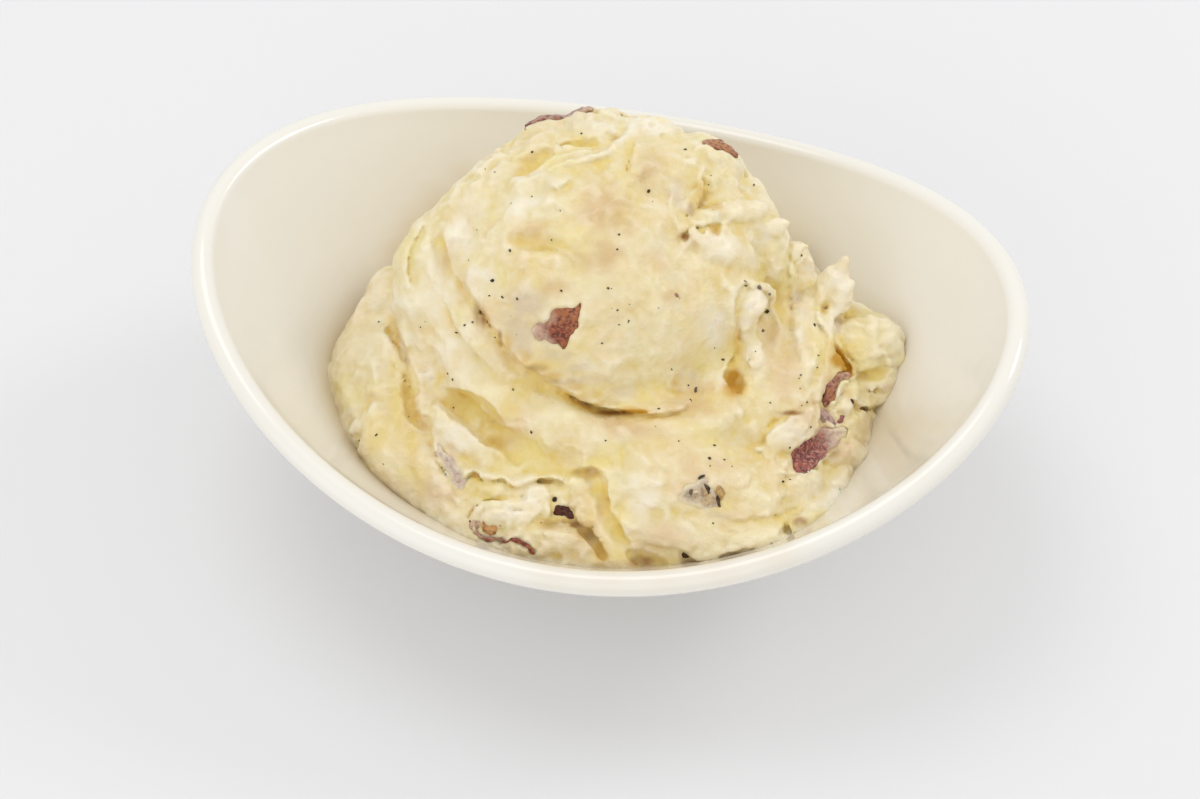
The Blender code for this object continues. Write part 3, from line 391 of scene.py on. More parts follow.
# Places on the face for each layer, of the mash's own tone and of painted light and painted shade: across, up,
# and how far each reaches across and up
TONE_AND_LIGHT_PLACES = {
    # partly paler mash, as on the white rib and the pale chip, partly painted light on places that the lamps
    # leave darker
    "pale_and_lit": (
        (32.5, 37, 4, 3.5), (31, 31, 2.5, 4), (33, 25, 3, 3), (24, 49, 5, 3), (17, 58, 2, 2),
        (54, 15, 2, 3), (43, 7.5, 5, 3), (-22, -9.5, 5, 2.2), (-17, -6.5, 3.5, 3), (-34, 6, 5, 4),
        (-35, 26, 6, 5), (8, -6, 4, 5), (-17, 58, 6, 3), (-4, 23, 4, 2), (-38, 40, 4, 8),
        (-50, 35, 7, 4.5), (-46, 27, 4, 5), (17.5, 19.5, 3.5, 2.5), (53, 33, 2.5, 5), (48.5, 46, 3, 3),
        (49, -6, 5, 3.5), (-33, 51, 3, 6), (-41, 22.5, 2.5, 4), (24, 32, 3.2, 5), (43.8, 30, 1.5, 4),
        (54, 42, 3.5, 5), (50, -6, 5, 3), (-29, 42, 4, 4), (8, 77, 10, 3), (44, 36, 2.5, 5),
        (-26, -15.5, 3, 1.5), (35, 52, 3, 3)),
    # painted light, yellowish, on the right lobe's side and along the heap's foot
    "lit_cream": (
        (62, 28, 6, 5.5), (67, 25.5, 3.5, 5), (48, 38, 2, 4), (18, 19, 3, 2.5), (-26, 17, 4, 1.5),
        (-10, 12, 4, 1.6), (-36, 12, 3, 1.2), (-40, 27, 4, 3), (19, -17.5, 8, 3), (34, -15.5, 9, 3),
        (48, -8, 4, 3), (56, 1, 2.5, 3)),
    "pallid": (
        (-28, 21.5, 3.5, 2.2), (6, 17.8, 3.5, 1.8), (30, 6, 4.5, 2.5), (15, 42, 4, 3),
        (-28, 40, 3.5, 3.5), (26, 55.6, 2.5, 1.2), (-30, 56, 3, 7), (-8, 78, 8, 3), (27, 67, 4, 5),
        (10, 64, 4, 4), (24, 28, 3, 6), (42, 28, 2, 5), (-15, 63.5, 4, 2.5), (-40, 20, 1.6, 3),
        (55, 44, 3, 4), (-24, 66, 3, 3), (4, 30, 6, 4), (-2, 39, 6, 3), (33, 47, 3, 3), (-56, 25, 3, 6),
        (12, 49, 5, 3)),
    # painted shade, greyish, on the dollop's lower rim, under its fold and in a few other places
    "grey_shade": (
        (-17, 29, 7, 6), (-18, 36, 5, 4), (-12, 23, 7, 3.5), (-5, 18.5, 6, 2), (1, 16.5, 5, 1.4),
        (-21, 33, 3, 3), (17, 62, 4, 3), (-43, -5, 5, 3), (24, -8.5, 4, 3)),
    # partly a real pinkish tone of the mash, partly painted shade on places that lie in shadow
    "pink_and_shade": (
        (-2, 57, 5, 6), (-1, 47, 4.5, 3.5), (3, 53.5, 3, 3), (10, 45.5, 3.5, 3), (50, 9, 3, 4),
        (37.5, 30, 2.5, 4), (21, 0, 8, 5), (65, 17.5, 2, 1.5), (-41, 2, 4, 5), (-37, -6, 4, 3),
        (-35.5, 2, 2, 3), (-28, 33, 3, 4), (12, -15, 6, 3), (40, 20, 4, 8), (24, 16, 6, 3),
        (3, 10, 7, 2.5), (45, 12, 4, 4), (54, 3, 3, 4), (-21, 11, 4, 4), (-4, -12, 5, 7),
        (17, -3, 4, 4)),
    # painted shade, yellow, in recesses, clefts, cracks and creases
    "recess_shade": (
        (40, 37.5, 2.4, 4), (56, 33.8, 2.4, 1.6), (29.3, 26, 1.4, 5), (-16, 69.5, 4, 2.6),
        (-6, 73.4, 4, 2), (56.5, 26, 4, 3.5), (5.5, 70, 1.5, 4), (-24, 6.5, 4, 3), (20, 61.5, 3, 4),
        (-47, 15, 2.5, 9), (2, -12, 3, 6), (-21, 3, 5, 3), (61, 21.5, 3, 1.5), (-14, 50.2, 5, 1.4),
        (-31, 12.5, 5, 3), (-52, 7, 3, 5), (-22, 13, 3, 3.5), (1, 13, 8, 1.3), (62, 13.5, 3, 2.5),
        (-5, -11, 2.5, 5), (1, -19.5, 6, 2), (52.6, 28.2, 1.5, 2), (-10, -1.2, 9, 1.2),
        (41, -12, 6, 1.6), (26, 15.5, 3, 2), (3, 56, 2, 2), (31, 18, 2, 3), (64, 13.5, 3, 3),
        (13, -21, 4, 1.5), (-2, 1, 5, 1.5), (-42, -2, 2, 5), (-14, 22.6, 5, 1.6), (-3, 16.8, 4.5, 2),
        (6, 11, 5, 1.6), (-48, 24, 1.5, 4), (-44, 6, 2, 5), (-28, -5, 3, 2), (-1, -16, 2, 4),
        (24, 14, 3, 3), (62, 20.5, 4, 2), (69.5, 22, 2, 4), (48, -11, 4, 1.6), (25, -8, 3, 2),
        (-20, 16, 3, 2)),
    # painted shade, deep yellow, along the crease under the dollop's lip, in troughs, crevices and slits
    "crease_shade": (
        (-22.5, 27.6, 1.5, 2.2), (-19, 24.4, 2.2, 1.8), (-15.5, 22.1, 2.4, 1.3), (-12, 20, 2.6, 1.2),
        (-8, 17.7, 2.8, 1.2), (-4, 16, 2.8, 1.2), (0, 14.2, 2.8, 1), (5, 12.8, 3, 0.9),
        (-27, 34.5, 1.2, 3), (-46, 18, 1.3, 3.6), (-44.6, 12.5, 1.5, 3), (-48.3, 28, 1, 3),
        (-4.5, -14.2, 2.6, 2), (-1.6, -18.4, 1.8, 2.6), (-12.4, -12.6, 3.4, 1.2),
        (-7.5, -12.2, 2.2, 1.2), (7.5, -20.8, 3.4, 1.4), (21, 62, 1.5, 3), (19.6, 58.6, 1.1, 1.8),
        (24, 58.3, 3, 1), (29.2, 28.5, 0.9, 3.6), (51.4, 25.2, 1.5, 3), (28.2, 17, 2.6, 2),
        (55, 16, 1.5, 1.5), (-24, 5.5, 3, 1.6)),
    # painted shade, warm, under the dollop and along the band beside it
    "warm_shade": (
        (-2, 47, 6, 4), (0, 57, 6, 6), (-15, 52, 5, 3), (-12, 40, 4, 2), (14, 38, 2.5, 2),
        (4, 8.5, 7, 2.2), (19, 13, 8, 2.2), (-6, -8, 2.4, 3), (50, 20, 1.6, 3), (-36, 46, 1.8, 4),
        (-32.6, 39.5, 1.6, 4), (-41, 9, 2, 2), (9, 66, 4, 5)),
    # painted shadow, dark, below bits, in gaps at the foot and in creases
    "dark_shade": (
        (-6.5, -12.4, 2.6, 1.3), (-11.5, -12.6, 2.8, 1), (-3.5, -14.8, 1.7, 1.8), (7, -21, 3, 1.2),
        (0, -21.5, 3.4, 1), (51, 3.4, 1.6, 2.2), (49, 15, 0.9, 3), (-16, 21.9, 2.6, 0.8),
        (-10, 19, 3, 0.7), (-29, 34, 0.9, 3)),
    # painted shade in holes and under the fold
    "hole_shade": ((28.6, 18.9, 2.0, 2.6), (53.3, 24.4, 2, 2), (55.2, 21.8, 1.7, 1.8), (6, 12.3, 3, 0.5)),
    # painted shadow, dark, in gaps at the foot, holes, slits and cracks
    "gap_shadow": (
        (7.6, -20.8, 2.2, 1.2), (18.3, -21, 1.8, 0.8), (28.5, -19.3, 3, 0.6), (42.5, -12, 1.7, 1.1),
        (-6.5, -12.6, 1.5, 0.7), (17.3, 51.4, 1.2, 0.9), (18.7, 57.3, 0.8, 1.4),
        (-27.6, 33.6, 0.7, 2.2), (-23.9, 28.8, 0.5, 1.4), (1.5, 12, 4, 0.6), (41, 11.9, 3, 0.5)),
}
# How strongly each layer of tone, painted light and painted shade shows, and its colour, from the lowest layer
# to the uppermost
TONE_AND_LIGHT_LAYERS = (
    # painted light, yellowish
    ("lit_cream", 0.75, (0.88, 0.79, 0.53)),
    ("pallid", 0.7, (0.77, 0.68, 0.47)),
    # partly paler mash, partly painted light
    ("pale_and_lit", 0.75, (0.87, 0.81, 0.68)),
    # painted shade, greyish
    ("grey_shade", 0.85, (0.66, 0.54, 0.37)),
    # partly a real pinkish tone, partly painted shade
    ("pink_and_shade", 0.65, (0.73, 0.54, 0.33)),
    # painted shade, yellow
    ("recess_shade", 0.6, (0.79, 0.63, 0.19)),
    # painted shade, warm
    ("warm_shade", 0.75, (0.66, 0.475, 0.23)),
    # painted shade, deep yellow
    ("crease_shade", 0.8, (0.64, 0.42, 0.10)),
    # painted shadow, dark
    ("dark_shade", 0.9, (0.48, 0.34, 0.14)),
    # painted shade in holes
    ("hole_shade", 1.9, (0.56, 0.29, 0.018)),
    # painted shadow, dark
    ("gap_shadow", 1.0, (0.32, 0.14, 0.03)),
)

# Colours of the mash from ridge to hollow, paler on the ridges and darker and yellower towards the hollows as
# painted shade: how much mash stands round a point, and the colour there
HOLLOW_SHADE_COLOURS = (
    (0.36, (0.85, 0.77, 0.56)),
    (0.46, (0.775, 0.665, 0.39)),
    (0.54, (0.745, 0.612, 0.30)),
    (0.63, (0.78, 0.615, 0.185)),
    (0.73, (0.75, 0.53, 0.11)),
    (0.84, (0.60, 0.34, 0.045)),
    (0.95, (0.36, 0.20, 0.04)),
)
# Patches all over the mash: size in metres, edge, level, seed, how strongly they show, and colour
MASH_PATCHES = (
    (0.016, 0.10, 0.55, 1.0, 0.42, (0.765, 0.575, 0.30)),  # warm
    (0.009, 0.08, 0.56, 2.0, 0.45, (0.86, 0.78, 0.58)),  # pale
    (0.012, 0.06, 0.60, 3.0, 0.45, (0.79, 0.675, 0.26)),  # yellow
    (0.0016, 0.12, 0.52, 11.0, 0.2, (0.83, 0.75, 0.53)),  # curds
    (0.0024, 0.08, 0.60, 12.0, 0.15, (0.76, 0.62, 0.32)),  # thinner between the curds
)

# Scraps of skin: their outlines in millimetres from the middle of their nodes, across and up the plane they
# face, the way they face where it isn't the way of the heap's face, how far they stand off the mash, how a
# film of mash covers them (its slope across and up, its level, and how much more of it is at the edge), how
# deep they are pressed in, and their dark, main, pale and warm colours
SKIN_THICKNESS = 0.7
SKIN_DEPTHS = (14, -16)  # where the mash is looked for, from over a scrap's middle to under it
LAID_SOFTNESS = 1.1
SCRAP_STEP = 0.36
VEIL_COLOUR = (0.78, 0.69, 0.55)
FILM_COLOUR = (0.77, 0.665, 0.42)
SKINS = {
    "skin_middle": dict(
        outline=(
            (-5.8, -0.9), (-4.5, 0.7), (-2.6, 1.2), (-1.6, 2.9), (0.4, 4.0), (3, 4.2), (5.1, 5.0),
            (4.8, 2.4), (4.7, 0.6), (4, -1.2), (2.6, -3.4), (1.2, -5.4), (0.4, -4.2), (-1.6, -3.9),
            (-3.2, -2.9), (-4.2, -3.5), (-5.4, -2.4)),
        facing=None, lift=-0.1, film=(-0.16, 0.02, -0.22, 0.3), press=0.9,
        colours=((0.08, 0.014, 0.006), (0.27, 0.062, 0.025), (0.46, 0.19, 0.10), (0.38, 0.125, 0.042)),
    ),
    "skin_right_upper": dict(
        outline=(
            (4.9, 2.5), (2.8, 1.9), (1.5, 1.1), (1.3, -0.8), (0.5, -2.5), (-0.8, -3.8), (-2.1, -3.5),
            (-2.1, -1.7), (-1.3, 0.5), (0.3, 2.5), (2.2, 3.8), (4, 4.0)),
        facing=None, lift=0.0, film=(0.05, 0.06, -0.35, 0.3), press=1.1,
        colours=((0.11, 0.03, 0.02), (0.34, 0.12, 0.08), (0.57, 0.30, 0.20), (0.42, 0.17, 0.07)),
    ),
    "skin_right_lower": dict(
        outline=(
            (-6.0, -1.2), (-4.4, 0.4), (-2.4, 1.8), (-0.5, 2.6), (0.8, 4.0), (2.6, 4.4), (5, 4.2),
            (7, 3.6), (6.4, 2), (4.5, 0), (2.2, -1.8), (0.7, -3.1), (-0.8, -4.6), (-2.9, -5.7),
            (-5, -6.2), (-5.8, -3.8)),
        facing=None, lift=-0.1, film=(0.15, 0.06, -0.15, 0.3), press=1.2,
        colours=((0.10, 0.02, 0.018), (0.31, 0.09, 0.08), (0.57, 0.35, 0.27), (0.36, 0.11, 0.08)),
    ),
    "skin_front": dict(
        outline=(
            (-5, 0.6), (-3.5, 2.1), (-1.5, 2.9), (-0.5, 3.4), (1, 3.7), (2.2, 2.6), (3.2, 1),
            (4.3, -0.6), (4.5, -2.1), (3, -3.0), (0.5, -3.3), (-2, -2.6), (-4, -1.4), (-5.2, -0.6)),
        facing=None, lift=-0.1, film=(-0.06, -0.03, 0.3, 0.75), press=0.5,
        colours=((0.14, 0.08, 0.035), (0.44, 0.33, 0.21), (0.56, 0.44, 0.29), (0.52, 0.34, 0.15)),
    ),
    "skin_front_left": dict(
        outline=(
            (-7.8, 3.0), (-7.2, 1.7), (-5.6, 0.8), (-4, 0.6), (-1, 0.3), (1, 0.4), (2.7, 0), (4, -1),
            (5.4, -2.3), (5.0, -2.8), (3.2, -1.5), (1.5, -0.4), (-1, -0.4), (-4, -0.3), (-6.0, -0.1),
            (-7.8, 1.3), (-8.3, 2.8)),
        facing=None, lift=0.65, film=(-0.07, 0.1, -0.15, 0.1), press=0.6,
        colours=((0.10, 0.018, 0.01), (0.27, 0.06, 0.035), (0.50, 0.24, 0.15), (0.42, 0.15, 0.06)),
    ),
    "skin_left": dict(
        outline=(
            (-2.6, 4.0), (-1.6, 2.6), (0, 1.2), (1.4, 0), (2.8, -1.5), (3.6, -3.5), (3.8, -5.4),
            (2.6, -6.6), (1, -6.2), (0, -4.2), (-0.8, -2.2), (-1.8, -0.2), (-2.8, 2)),
        facing=None, lift=0.0, film=(-0.10, -0.06, 0.25, 0.7), press=0.35,
        colours=((0.20, 0.10, 0.07), (0.50, 0.37, 0.29), (0.64, 0.52, 0.43), (0.48, 0.30, 0.20)),
    ),
    "skin_crown_left": dict(
        outline=(
            (-8.2, -0.4), (-6.5, -2.1), (-3.5, -2.0), (0, -1.7), (4, -1.4), (7.4, -0.4), (8, 1.1),
            (4, 2.6), (-1, 2.9), (-5.5, 1.8)),
        facing=(-0.1, 0.5, 0.86), lift=0.5, film=(0.08, -0.1, -0.15, 0.1), press=0.5,
        colours=((0.13, 0.045, 0.03), (0.34, 0.16, 0.11), (0.56, 0.38, 0.29), (0.40, 0.19, 0.11)),
    ),
    "skin_crown_right": dict(
        outline=(
            (-4.5, -1.5), (-3.6, 0.4), (-1.4, 1.6), (0.2, 1.9), (1.6, 0.8), (3.6, -0.6), (4.2, -2.2),
            (1.5, -2.6), (-2, -2.4)),
        facing=(0.1, 0.1, 0.99), lift=0.5, film=(-0.12, 0, -0.3, 0.1), press=0.5,
        colours=((0.14, 0.045, 0.02), (0.40, 0.16, 0.07), (0.55, 0.30, 0.17), (0.46, 0.2, 0.075)),
    ),
}
BIT_THICKNESS = 0.5
BIT_DEPTHS = (4, -4)
BIT_FILM = (0, 0, -0.3, 0)
# Small bits laid on the face: name, place across and up, half-sizes, turn in degrees, lift and colour
SMALL_BITS = (
    ("orange_bit", (-26.0, -13.0), (1.9, 2.0), 8, 0.3, (0.68, 0.37, 0.14)),
    ("pale_bit", (-28.9, -13.0), (1.5, 1.7), -10, 0.25, (0.66, 0.46, 0.31)),
    ("dark_bit", (-9.4, -10.0), (2.9, 1.6), -14, 0.3, (0.085, 0.016, 0.001)),
    ("grey_bit", (-20.8, 33.7), (1.3, 0.8), 35, 0.05, (0.56, 0.46, 0.32)),
    ("dark_chip", (-11.6, -7.6), (0.6, 0.9), 12, 0.3, (0.055, 0.02, 0.008)),
    ("pink_bit", (15.0, 38.0), (1.2, 0.8), -35, 0.2, (0.56, 0.27, 0.19)),
    ("pink_sheet", (50.2, 10.2), (1.4, 3.4), 39, 0.3, (0.55, 0.36, 0.31)),
    ("red_sliver", (52.9, 10.2), (0.5, 1.5), -35, 0.45, (0.36, 0.13, 0.11)),
    # dark bits put as painted shadow: in a gap at the foot, in a hole beside the right lobe and along the
    # shadow line under it
    ("brown_bit_low", (17.1, -19.2), (0.9, 0.6), 0, 0.25, (0.10, 0.045, 0.015)),
    ("brown_bit_right", (55.6, 14.6), (0.8, 0.7), 0, 0.3, (0.08, 0.04, 0.015)),
    ("brown_sliver_right", (58.2, 12.8), (1.1, 0.4), -8, 0.3, (0.26, 0.13, 0.04)),
    ("grey_crumb_1", (34.2, 40.4), (0.9, 0.5), -40, 0.3, (0.34, 0.25, 0.19)),
    ("grey_crumb_2", (31.0, 41.2), (0.5, 0.35), 0, 0.3, (0.36, 0.27, 0.2)),
    ("grey_crumb_3", (36.6, 38.9), (0.7, 0.35), -40, 0.3, (0.30, 0.21, 0.16)),
    ("front_dark_1", (20.6, -2.2), (0.9, 0.4), 35, 0.75, (0.06, 0.04, 0.02)),
    ("front_dark_2", (22.0, -4.6), (0.5, 1.3), 25, 0.75, (0.08, 0.05, 0.028)),
    ("front_dark_3", (18.1, -5.5), (0.5, 0.8), -10, 0.75, (0.16, 0.12, 0.08)),
    ("front_dark_4", (24.4, -7.4), (0.35, 1.6), 20, 0.7, (0.11, 0.05, 0.02)),
    ("front_orange", (24.8, -5.4), (0.9, 1.6), 15, 0.6, (0.58, 0.36, 0.13)),
)

# Pepper that stands out: across, up and half-length; the rest is scattered
PEPPER = (
    (-21.7, 48.2, 0.62), (-18.6, 47, 0.42), (-20, 37.5, 0.7), (-23.3, 37.7, 0.42), (-25.5, 41.5, 0.6),
    (-31, 46.2, 0.3), (-30, 32.2, 0.4), (-31.8, 31.6, 0.35), (-34, 30, 0.38), (-21.2, 17, 0.55),
    (-17, 7.8, 0.45), (-20.3, -16, 0.65), (-20, -13.5, 0.35), (0, 39.6, 0.5), (4.5, 32.5, 0.62),
    (2.5, 31.6, 0.4), (11.4, 35.3, 0.4), (14.3, 21.8, 0.35), (20, 17.2, 0.85), (18.7, 14.8, 0.45),
    (18, 13, 0.4), (11.4, 13, 0.45), (36.5, 35, 0.85), (35.3, 30.5, 0.5), (47.5, 32, 0.55),
    (26, 24, 0.5), (33.5, 25.8, 0.4), (47.8, 25, 0.5), (43.5, 13.5, 0.55), (22.5, 2, 0.45),
    (23.8, 4.7, 0.45), (25.7, 1.7, 0.45), (37, -10.5, 0.5), (-21.5, 59, 0.35), (-27.7, 67, 0.4),
    (9.3, 61.8, 0.55), (22.8, 63.7, 0.35), (33.5, 64, 0.5), (44.5, 48, 0.4), (31, 40.5, 0.45),
    (-52, 7, 0.4), (-45, 11, 0.5), (0.7, 49, 0.3), (3.4, 48.5, 0.3), (-1.7, 50.5, 0.3),
    (-4.7, 6.2, 0.35), (-2.5, 5.4, 0.35), (3.2, -3, 0.35),
)
PEPPER_MORE = 110
PEPPER_LOWEST = 22
PEPPER_COLOURS = ((0.05, 0.036, 0.016), (0.15, 0.12, 0.055))


# --- Fields -------------------------------------------------------------------------------------


def noise(points, size, seed):
    """Smooth noise, about -1 to 1, whose lumps are of the given size."""
    chance = np.random.default_rng(seed)
    slopes = chance.normal(size=(NOISE_SLOPES, 3)).astype(np.float32)
    slopes /= np.linalg.norm(slopes, axis=1, keepdims=True)
    place = points / size + chance.uniform(0, 64, 3)
    cell = np.floor(place).astype(np.int64)
    part = (place - cell).astype(np.float32)
    fade = part**3 * (part * (part * 6 - 15) + 10)
    total = np.zeros(len(points), np.float32)
    for corner in product((0, 1), repeat=3):
        near = cell + corner
        key = near[:, 0] * 73856093 ^ near[:, 1] * 19349663 ^ near[:, 2] * 83492791
        slope = slopes[key & (NOISE_SLOPES - 1)]
        weight = np.prod(np.where(corner, fade, 1 - fade), axis=1)
        total += weight * (slope * (part - np.array(corner, np.float32))).sum(axis=1)
    return total * NOISE_HEIGHT


def smooth_union(a, b, blend):
    """The nearer of two distances, rounded where they are close to each other."""
    share = np.clip(0.5 + 0.5 * (b - a) / blend, 0, 1)
    return b + (a - b) * share - blend * share * (1 - share)


class Field:
    """Distance to a surface, in millimetres, at the points of a grid: below 0 inside."""

    def __init__(self, low, high, step):
        self.low = np.array(low, float)
        self.step = step
        self.axes = [np.arange(a, b + step, step, dtype=np.float32) for a, b in zip(low, high)]
        self.values = np.full([len(axis) for axis in self.axes], FAR, np.float32)

    def window(self, low, high):
        """The part of the grid that holds a box."""
        return tuple(slice(*np.searchsorted(axis, ends)) for axis, ends in zip(self.axes, zip(low, high)))

    def coordinates(self, window):
        x, y, z = (axis[part] for axis, part in zip(self.axes, window))
        return x[:, None, None], y[None, :, None], z[None, None, :]

    def blend_in(self, window, distance, blend, kind):
        """Adds a shape, or takes it away where it is a groove."""
        old = self.values[window]
        if kind == GROOVE:
            self.values[window] = -smooth_union(-old, distance, blend)
        else:
            self.values[window] = smooth_union(old, distance, blend)

    def filled(self):
        """1 inside and 0 outside."""
        return (self.values < 0).astype(np.float32)

    def sample(self, points, values=None):
        """Values between the grid's points: the distances, or others on the same grid."""
        values = self.values if values is None else values
        place = (np.asarray(points, float) - self.low) / self.step
        place = np.clip(place, 0, np.array(values.shape) - 1.001)
        cell = np.floor(place).astype(int)
        part = place - cell
        total = 0
        for corner in product((0, 1), repeat=3):
            weight = np.prod(np.where(corner, part, 1 - part), axis=-1)
            near = cell + corner
            total = total + weight * values[near[..., 0], near[..., 1], near[..., 2]]
        return total


def turned(turn, lean):
    """Turned about Z and then leant about its own X, in degrees."""
    both = Matrix.Rotation(math.radians(turn), 3, "Z") @ Matrix.Rotation(math.radians(lean), 3, "X")
    return np.array(both)


def add_lumps(field, lumps):
    """Ellipsoids, each blended into the field."""
    for middle, radii, blend, turn, lean in lumps:
        axes = turned(turn, lean)
        reach = np.sqrt(((axes * np.array(radii)) ** 2).sum(axis=1)) + 2 * blend + MARGIN
        window = field.window(np.array(middle) - reach, np.array(middle) + reach)
        away = [c - m for c, m in zip(field.coordinates(window), middle)]
        own = [sum(away[k] * axes[k, i] for k in range(3)) / radii[i] for i in range(3)]
        share = np.sqrt(sum(o**2 for o in own))
        slope = np.sqrt(sum((o / r) ** 2 for o, r in zip(own, radii)))
        field.blend_in(window, share * (share - 1) / np.maximum(slope, 1e-6), blend, RIDGE)


def smooth_route(rows, steps=5):
    """A smooth line through rows of numbers."""
    rows = np.array(rows, float)
    ends = np.vstack([2 * rows[0] - rows[1], rows, 2 * rows[-1] - rows[-2]])
    made = []
    for before, a, b, after in zip(ends, ends[1:], ends[2:], ends[3:]):
        for t in np.arange(steps) / steps:
            bend = 2 * a + (b - before) * t + (2 * before - 5 * a + 4 * b - after) * t**2
            made.append((bend + (3 * a - before - 3 * b + after) * t**3) / 2)
    return np.array([*made, rows[-1]])


def add_strand(field, rows, blend, kind=RIDGE):
    """A rounded strand through rows of x, y, z and radius."""
    route = smooth_route(rows)
    reach = route[:, 3].max() + 2 * blend + MARGIN
    window = field.window(route[:, :3].min(axis=0) - reach, route[:, :3].max(axis=0) + reach)
    nearest = np.full(field.values[window].shape, FAR, np.float32)
    for a, b in zip(route, route[1:]):
        low, high = np.minimum(a, b)[:3] - reach, np.maximum(a, b)[:3] + reach
        here = field.window(low, high)
        away = [c - start for c, start in zip(field.coordinates(here), a)]
        along = (b - a)[:3]
        t = sum(c * step for c, step in zip(away, along)) / max(float(along @ along), 1e-9)
        t = np.clip(t, 0, 1)
        gap = np.sqrt(sum((c - t * step) ** 2 for c, step in zip(away, along)))
        inner = tuple(slice(h.start - w.start, h.stop - w.start) for h, w in zip(here, window))
        nearest[inner] = np.minimum(nearest[inner], gap - a[3] - (b[3] - a[3]) * t)
    field.blend_in(window, nearest, blend, kind)


def on_face(field, across, up, lift=0.0):
    """The surface's point at a place on the face, lifted towards the front, or None beside the heap."""
    line = np.array([across, 0, 0]) + up * UP_THE_FACE + FACE_DEPTHS[:, None] * TOWARDS_FACE
    inside = field.sample(line) < 0
    if not inside.any():
        return None
    return line[int(inside.argmax())] + TOWARDS_FACE * lift


def add_stroke(field, kind, lift, blend, route):
    """A ridge or groove that follows the surface."""
    found = [(on_face(field, across, up, lift), radius) for across, up, radius in route]
    rows = [[*point, radius] for point, radius in found if point is not None]
    if len(rows) > 1:
        add_strand(field, rows, blend, kind)


def surface(field):
    """The surface as points and four-sided faces, with one point for each cell that it crosses."""
    values = field.values
    cells = np.array(values.shape) - 1
    sums = np.zeros((3, cells.prod()))
    counts = np.zeros(cells.prod())
    faces = []
    for axis in range(3):
        lower, upper = [slice(None)] * 3, [slice(None)] * 3
        lower[axis], upper[axis] = slice(None, -1), slice(1, None)
        a, b = values[tuple(lower)], values[tuple(upper)]
        edge = np.argwhere((a < 0) != (b < 0))
        a, b = a[tuple(edge.T)], b[tuple(edge.T)]
        crossing = edge.astype(float)
        crossing[:, axis] += a / (a - b)
        ring = []
        for back_1, back_2 in ((0, 0), (1, 0), (1, 1), (0, 1)):
            cell = edge.copy()
            cell[:, (axis + 1) % 3] -= back_1
            cell[:, (axis + 2) % 3] -= back_2
            ring.append((cell[:, 0] * cells[1] + cell[:, 1]) * cells[2] + cell[:, 2])
        for cell in ring:
            counts += np.bincount(cell, minlength=len(counts))
            for k in range(3):
                sums[k] += np.bincount(cell, weights=crossing[:, k], minlength=len(counts))
        face = np.stack(ring, axis=1)
        face[a >= 0] = face[a >= 0][:, ::-1]
        faces.append(face)
    used = np.flatnonzero(counts)
    index = np.full(len(counts), -1)
    index[used] = np.arange(len(used))
    points = (sums[:, used] / counts[used]).T * field.step + field.low
    return points, index[np.vstack(faces)]


def blurred(values, cells):
    """A soft average over a number of cells, made of three plain ones along each axis."""
    half = max(1, round(cells / 2))
    width = 2 * half + 1
    for axis in range(3):
        margins = [(half + 1, half) if k == axis else (0, 0) for k in range(3)]
        ahead, behind = [slice(None)] * 3, [slice(None)] * 3
        ahead[axis], behind[axis] = slice(width, None), slice(None, -width)
        for _ in range(3):
            sums = np.cumsum(np.pad(values, margins, mode="edge"), axis=axis, dtype=np.float32)
            values = (sums[tuple(ahead)] - sums[tuple(behind)]) / width
    return values


# --- Bowl ---------------------------------------------------------------------------------------


def inner_half_sizes():
    return BOWL_LENGTH / 2 - 2 * LIP_RADIUS, BOWL_WIDTH / 2 - 2 * LIP_RADIUS


def inner_height(x, y):
    """Height of the bowl's inner face over a place in its plan."""
    long_half, short_half = inner_half_sizes()
    along, across = x / long_half, y / short_half
    share = np.hypot(along, across)
    wave = (along**2 - across**2) / np.maximum(share**2, 1e-9)
    lip_height = RIM_HEIGHT + LIP_RADIUS * LIP_DROP
    return FLOOR_HEIGHT + (lip_height - FLOOR_HEIGHT) * share**WALL_CURVE + RIM_WAVE * wave * share**3


def inner_point(share, angle):
    """A place on the inner face: its share of the way from the middle to the lip, and its angle."""
    long_half, short_half = inner_half_sizes()
    x, y = long_half * share * math.cos(angle), short_half * share * math.sin(angle)
    return Vector((x, y, float(inner_height(x, y))))


def outward(share, angle):
    """The inner face's normal, pointing into the wall."""
    step = 0.004
    across = inner_point(share + step, angle) - inner_point(share - step, angle)
    around = inner_point(share, angle + step) - inner_point(share, angle - step)
    return across.cross(around).normalized() * -1


def plan_normal(angle):
    long_half, short_half = inner_half_sizes()
    return Vector((short_half * math.cos(angle), long_half * math.sin(angle), 0)).normalized()


def bowl_foot(angle, out, up):
    """The foot's section: down its outside, round its two edges and up into the recess."""
    foot_edge = inner_point(FOOT_SHARE, angle)
    foot_edge.z = 0
    ring_inner = foot_edge - out * FOOT_RING
    quarter = np.radians((0, 30, 60, 90))
    round_out = [
        foot_edge - out * EDGE_ROUND * (1 - math.cos(turn)) + up * EDGE_ROUND * (1 - math.sin(turn))
        for turn in quarter
    ]
    round_in = [
        ring_inner + out * EDGE_ROUND * (1 - math.sin(turn)) + up * EDGE_ROUND * (1 - math.cos(turn))
        for turn in quarter
    ]
    flare, slope = 0.5, 0.8
    return [
        foot_edge + up * FOOT_HEIGHT * 0.9 + out * flare,
        foot_edge + up * FOOT_HEIGHT * 0.6,
        *round_out,
        *round_in,
        ring_inner + up * FOOT_RECESS * 0.8,
        ring_inner + up * FOOT_RECESS - out * slope,
    ]


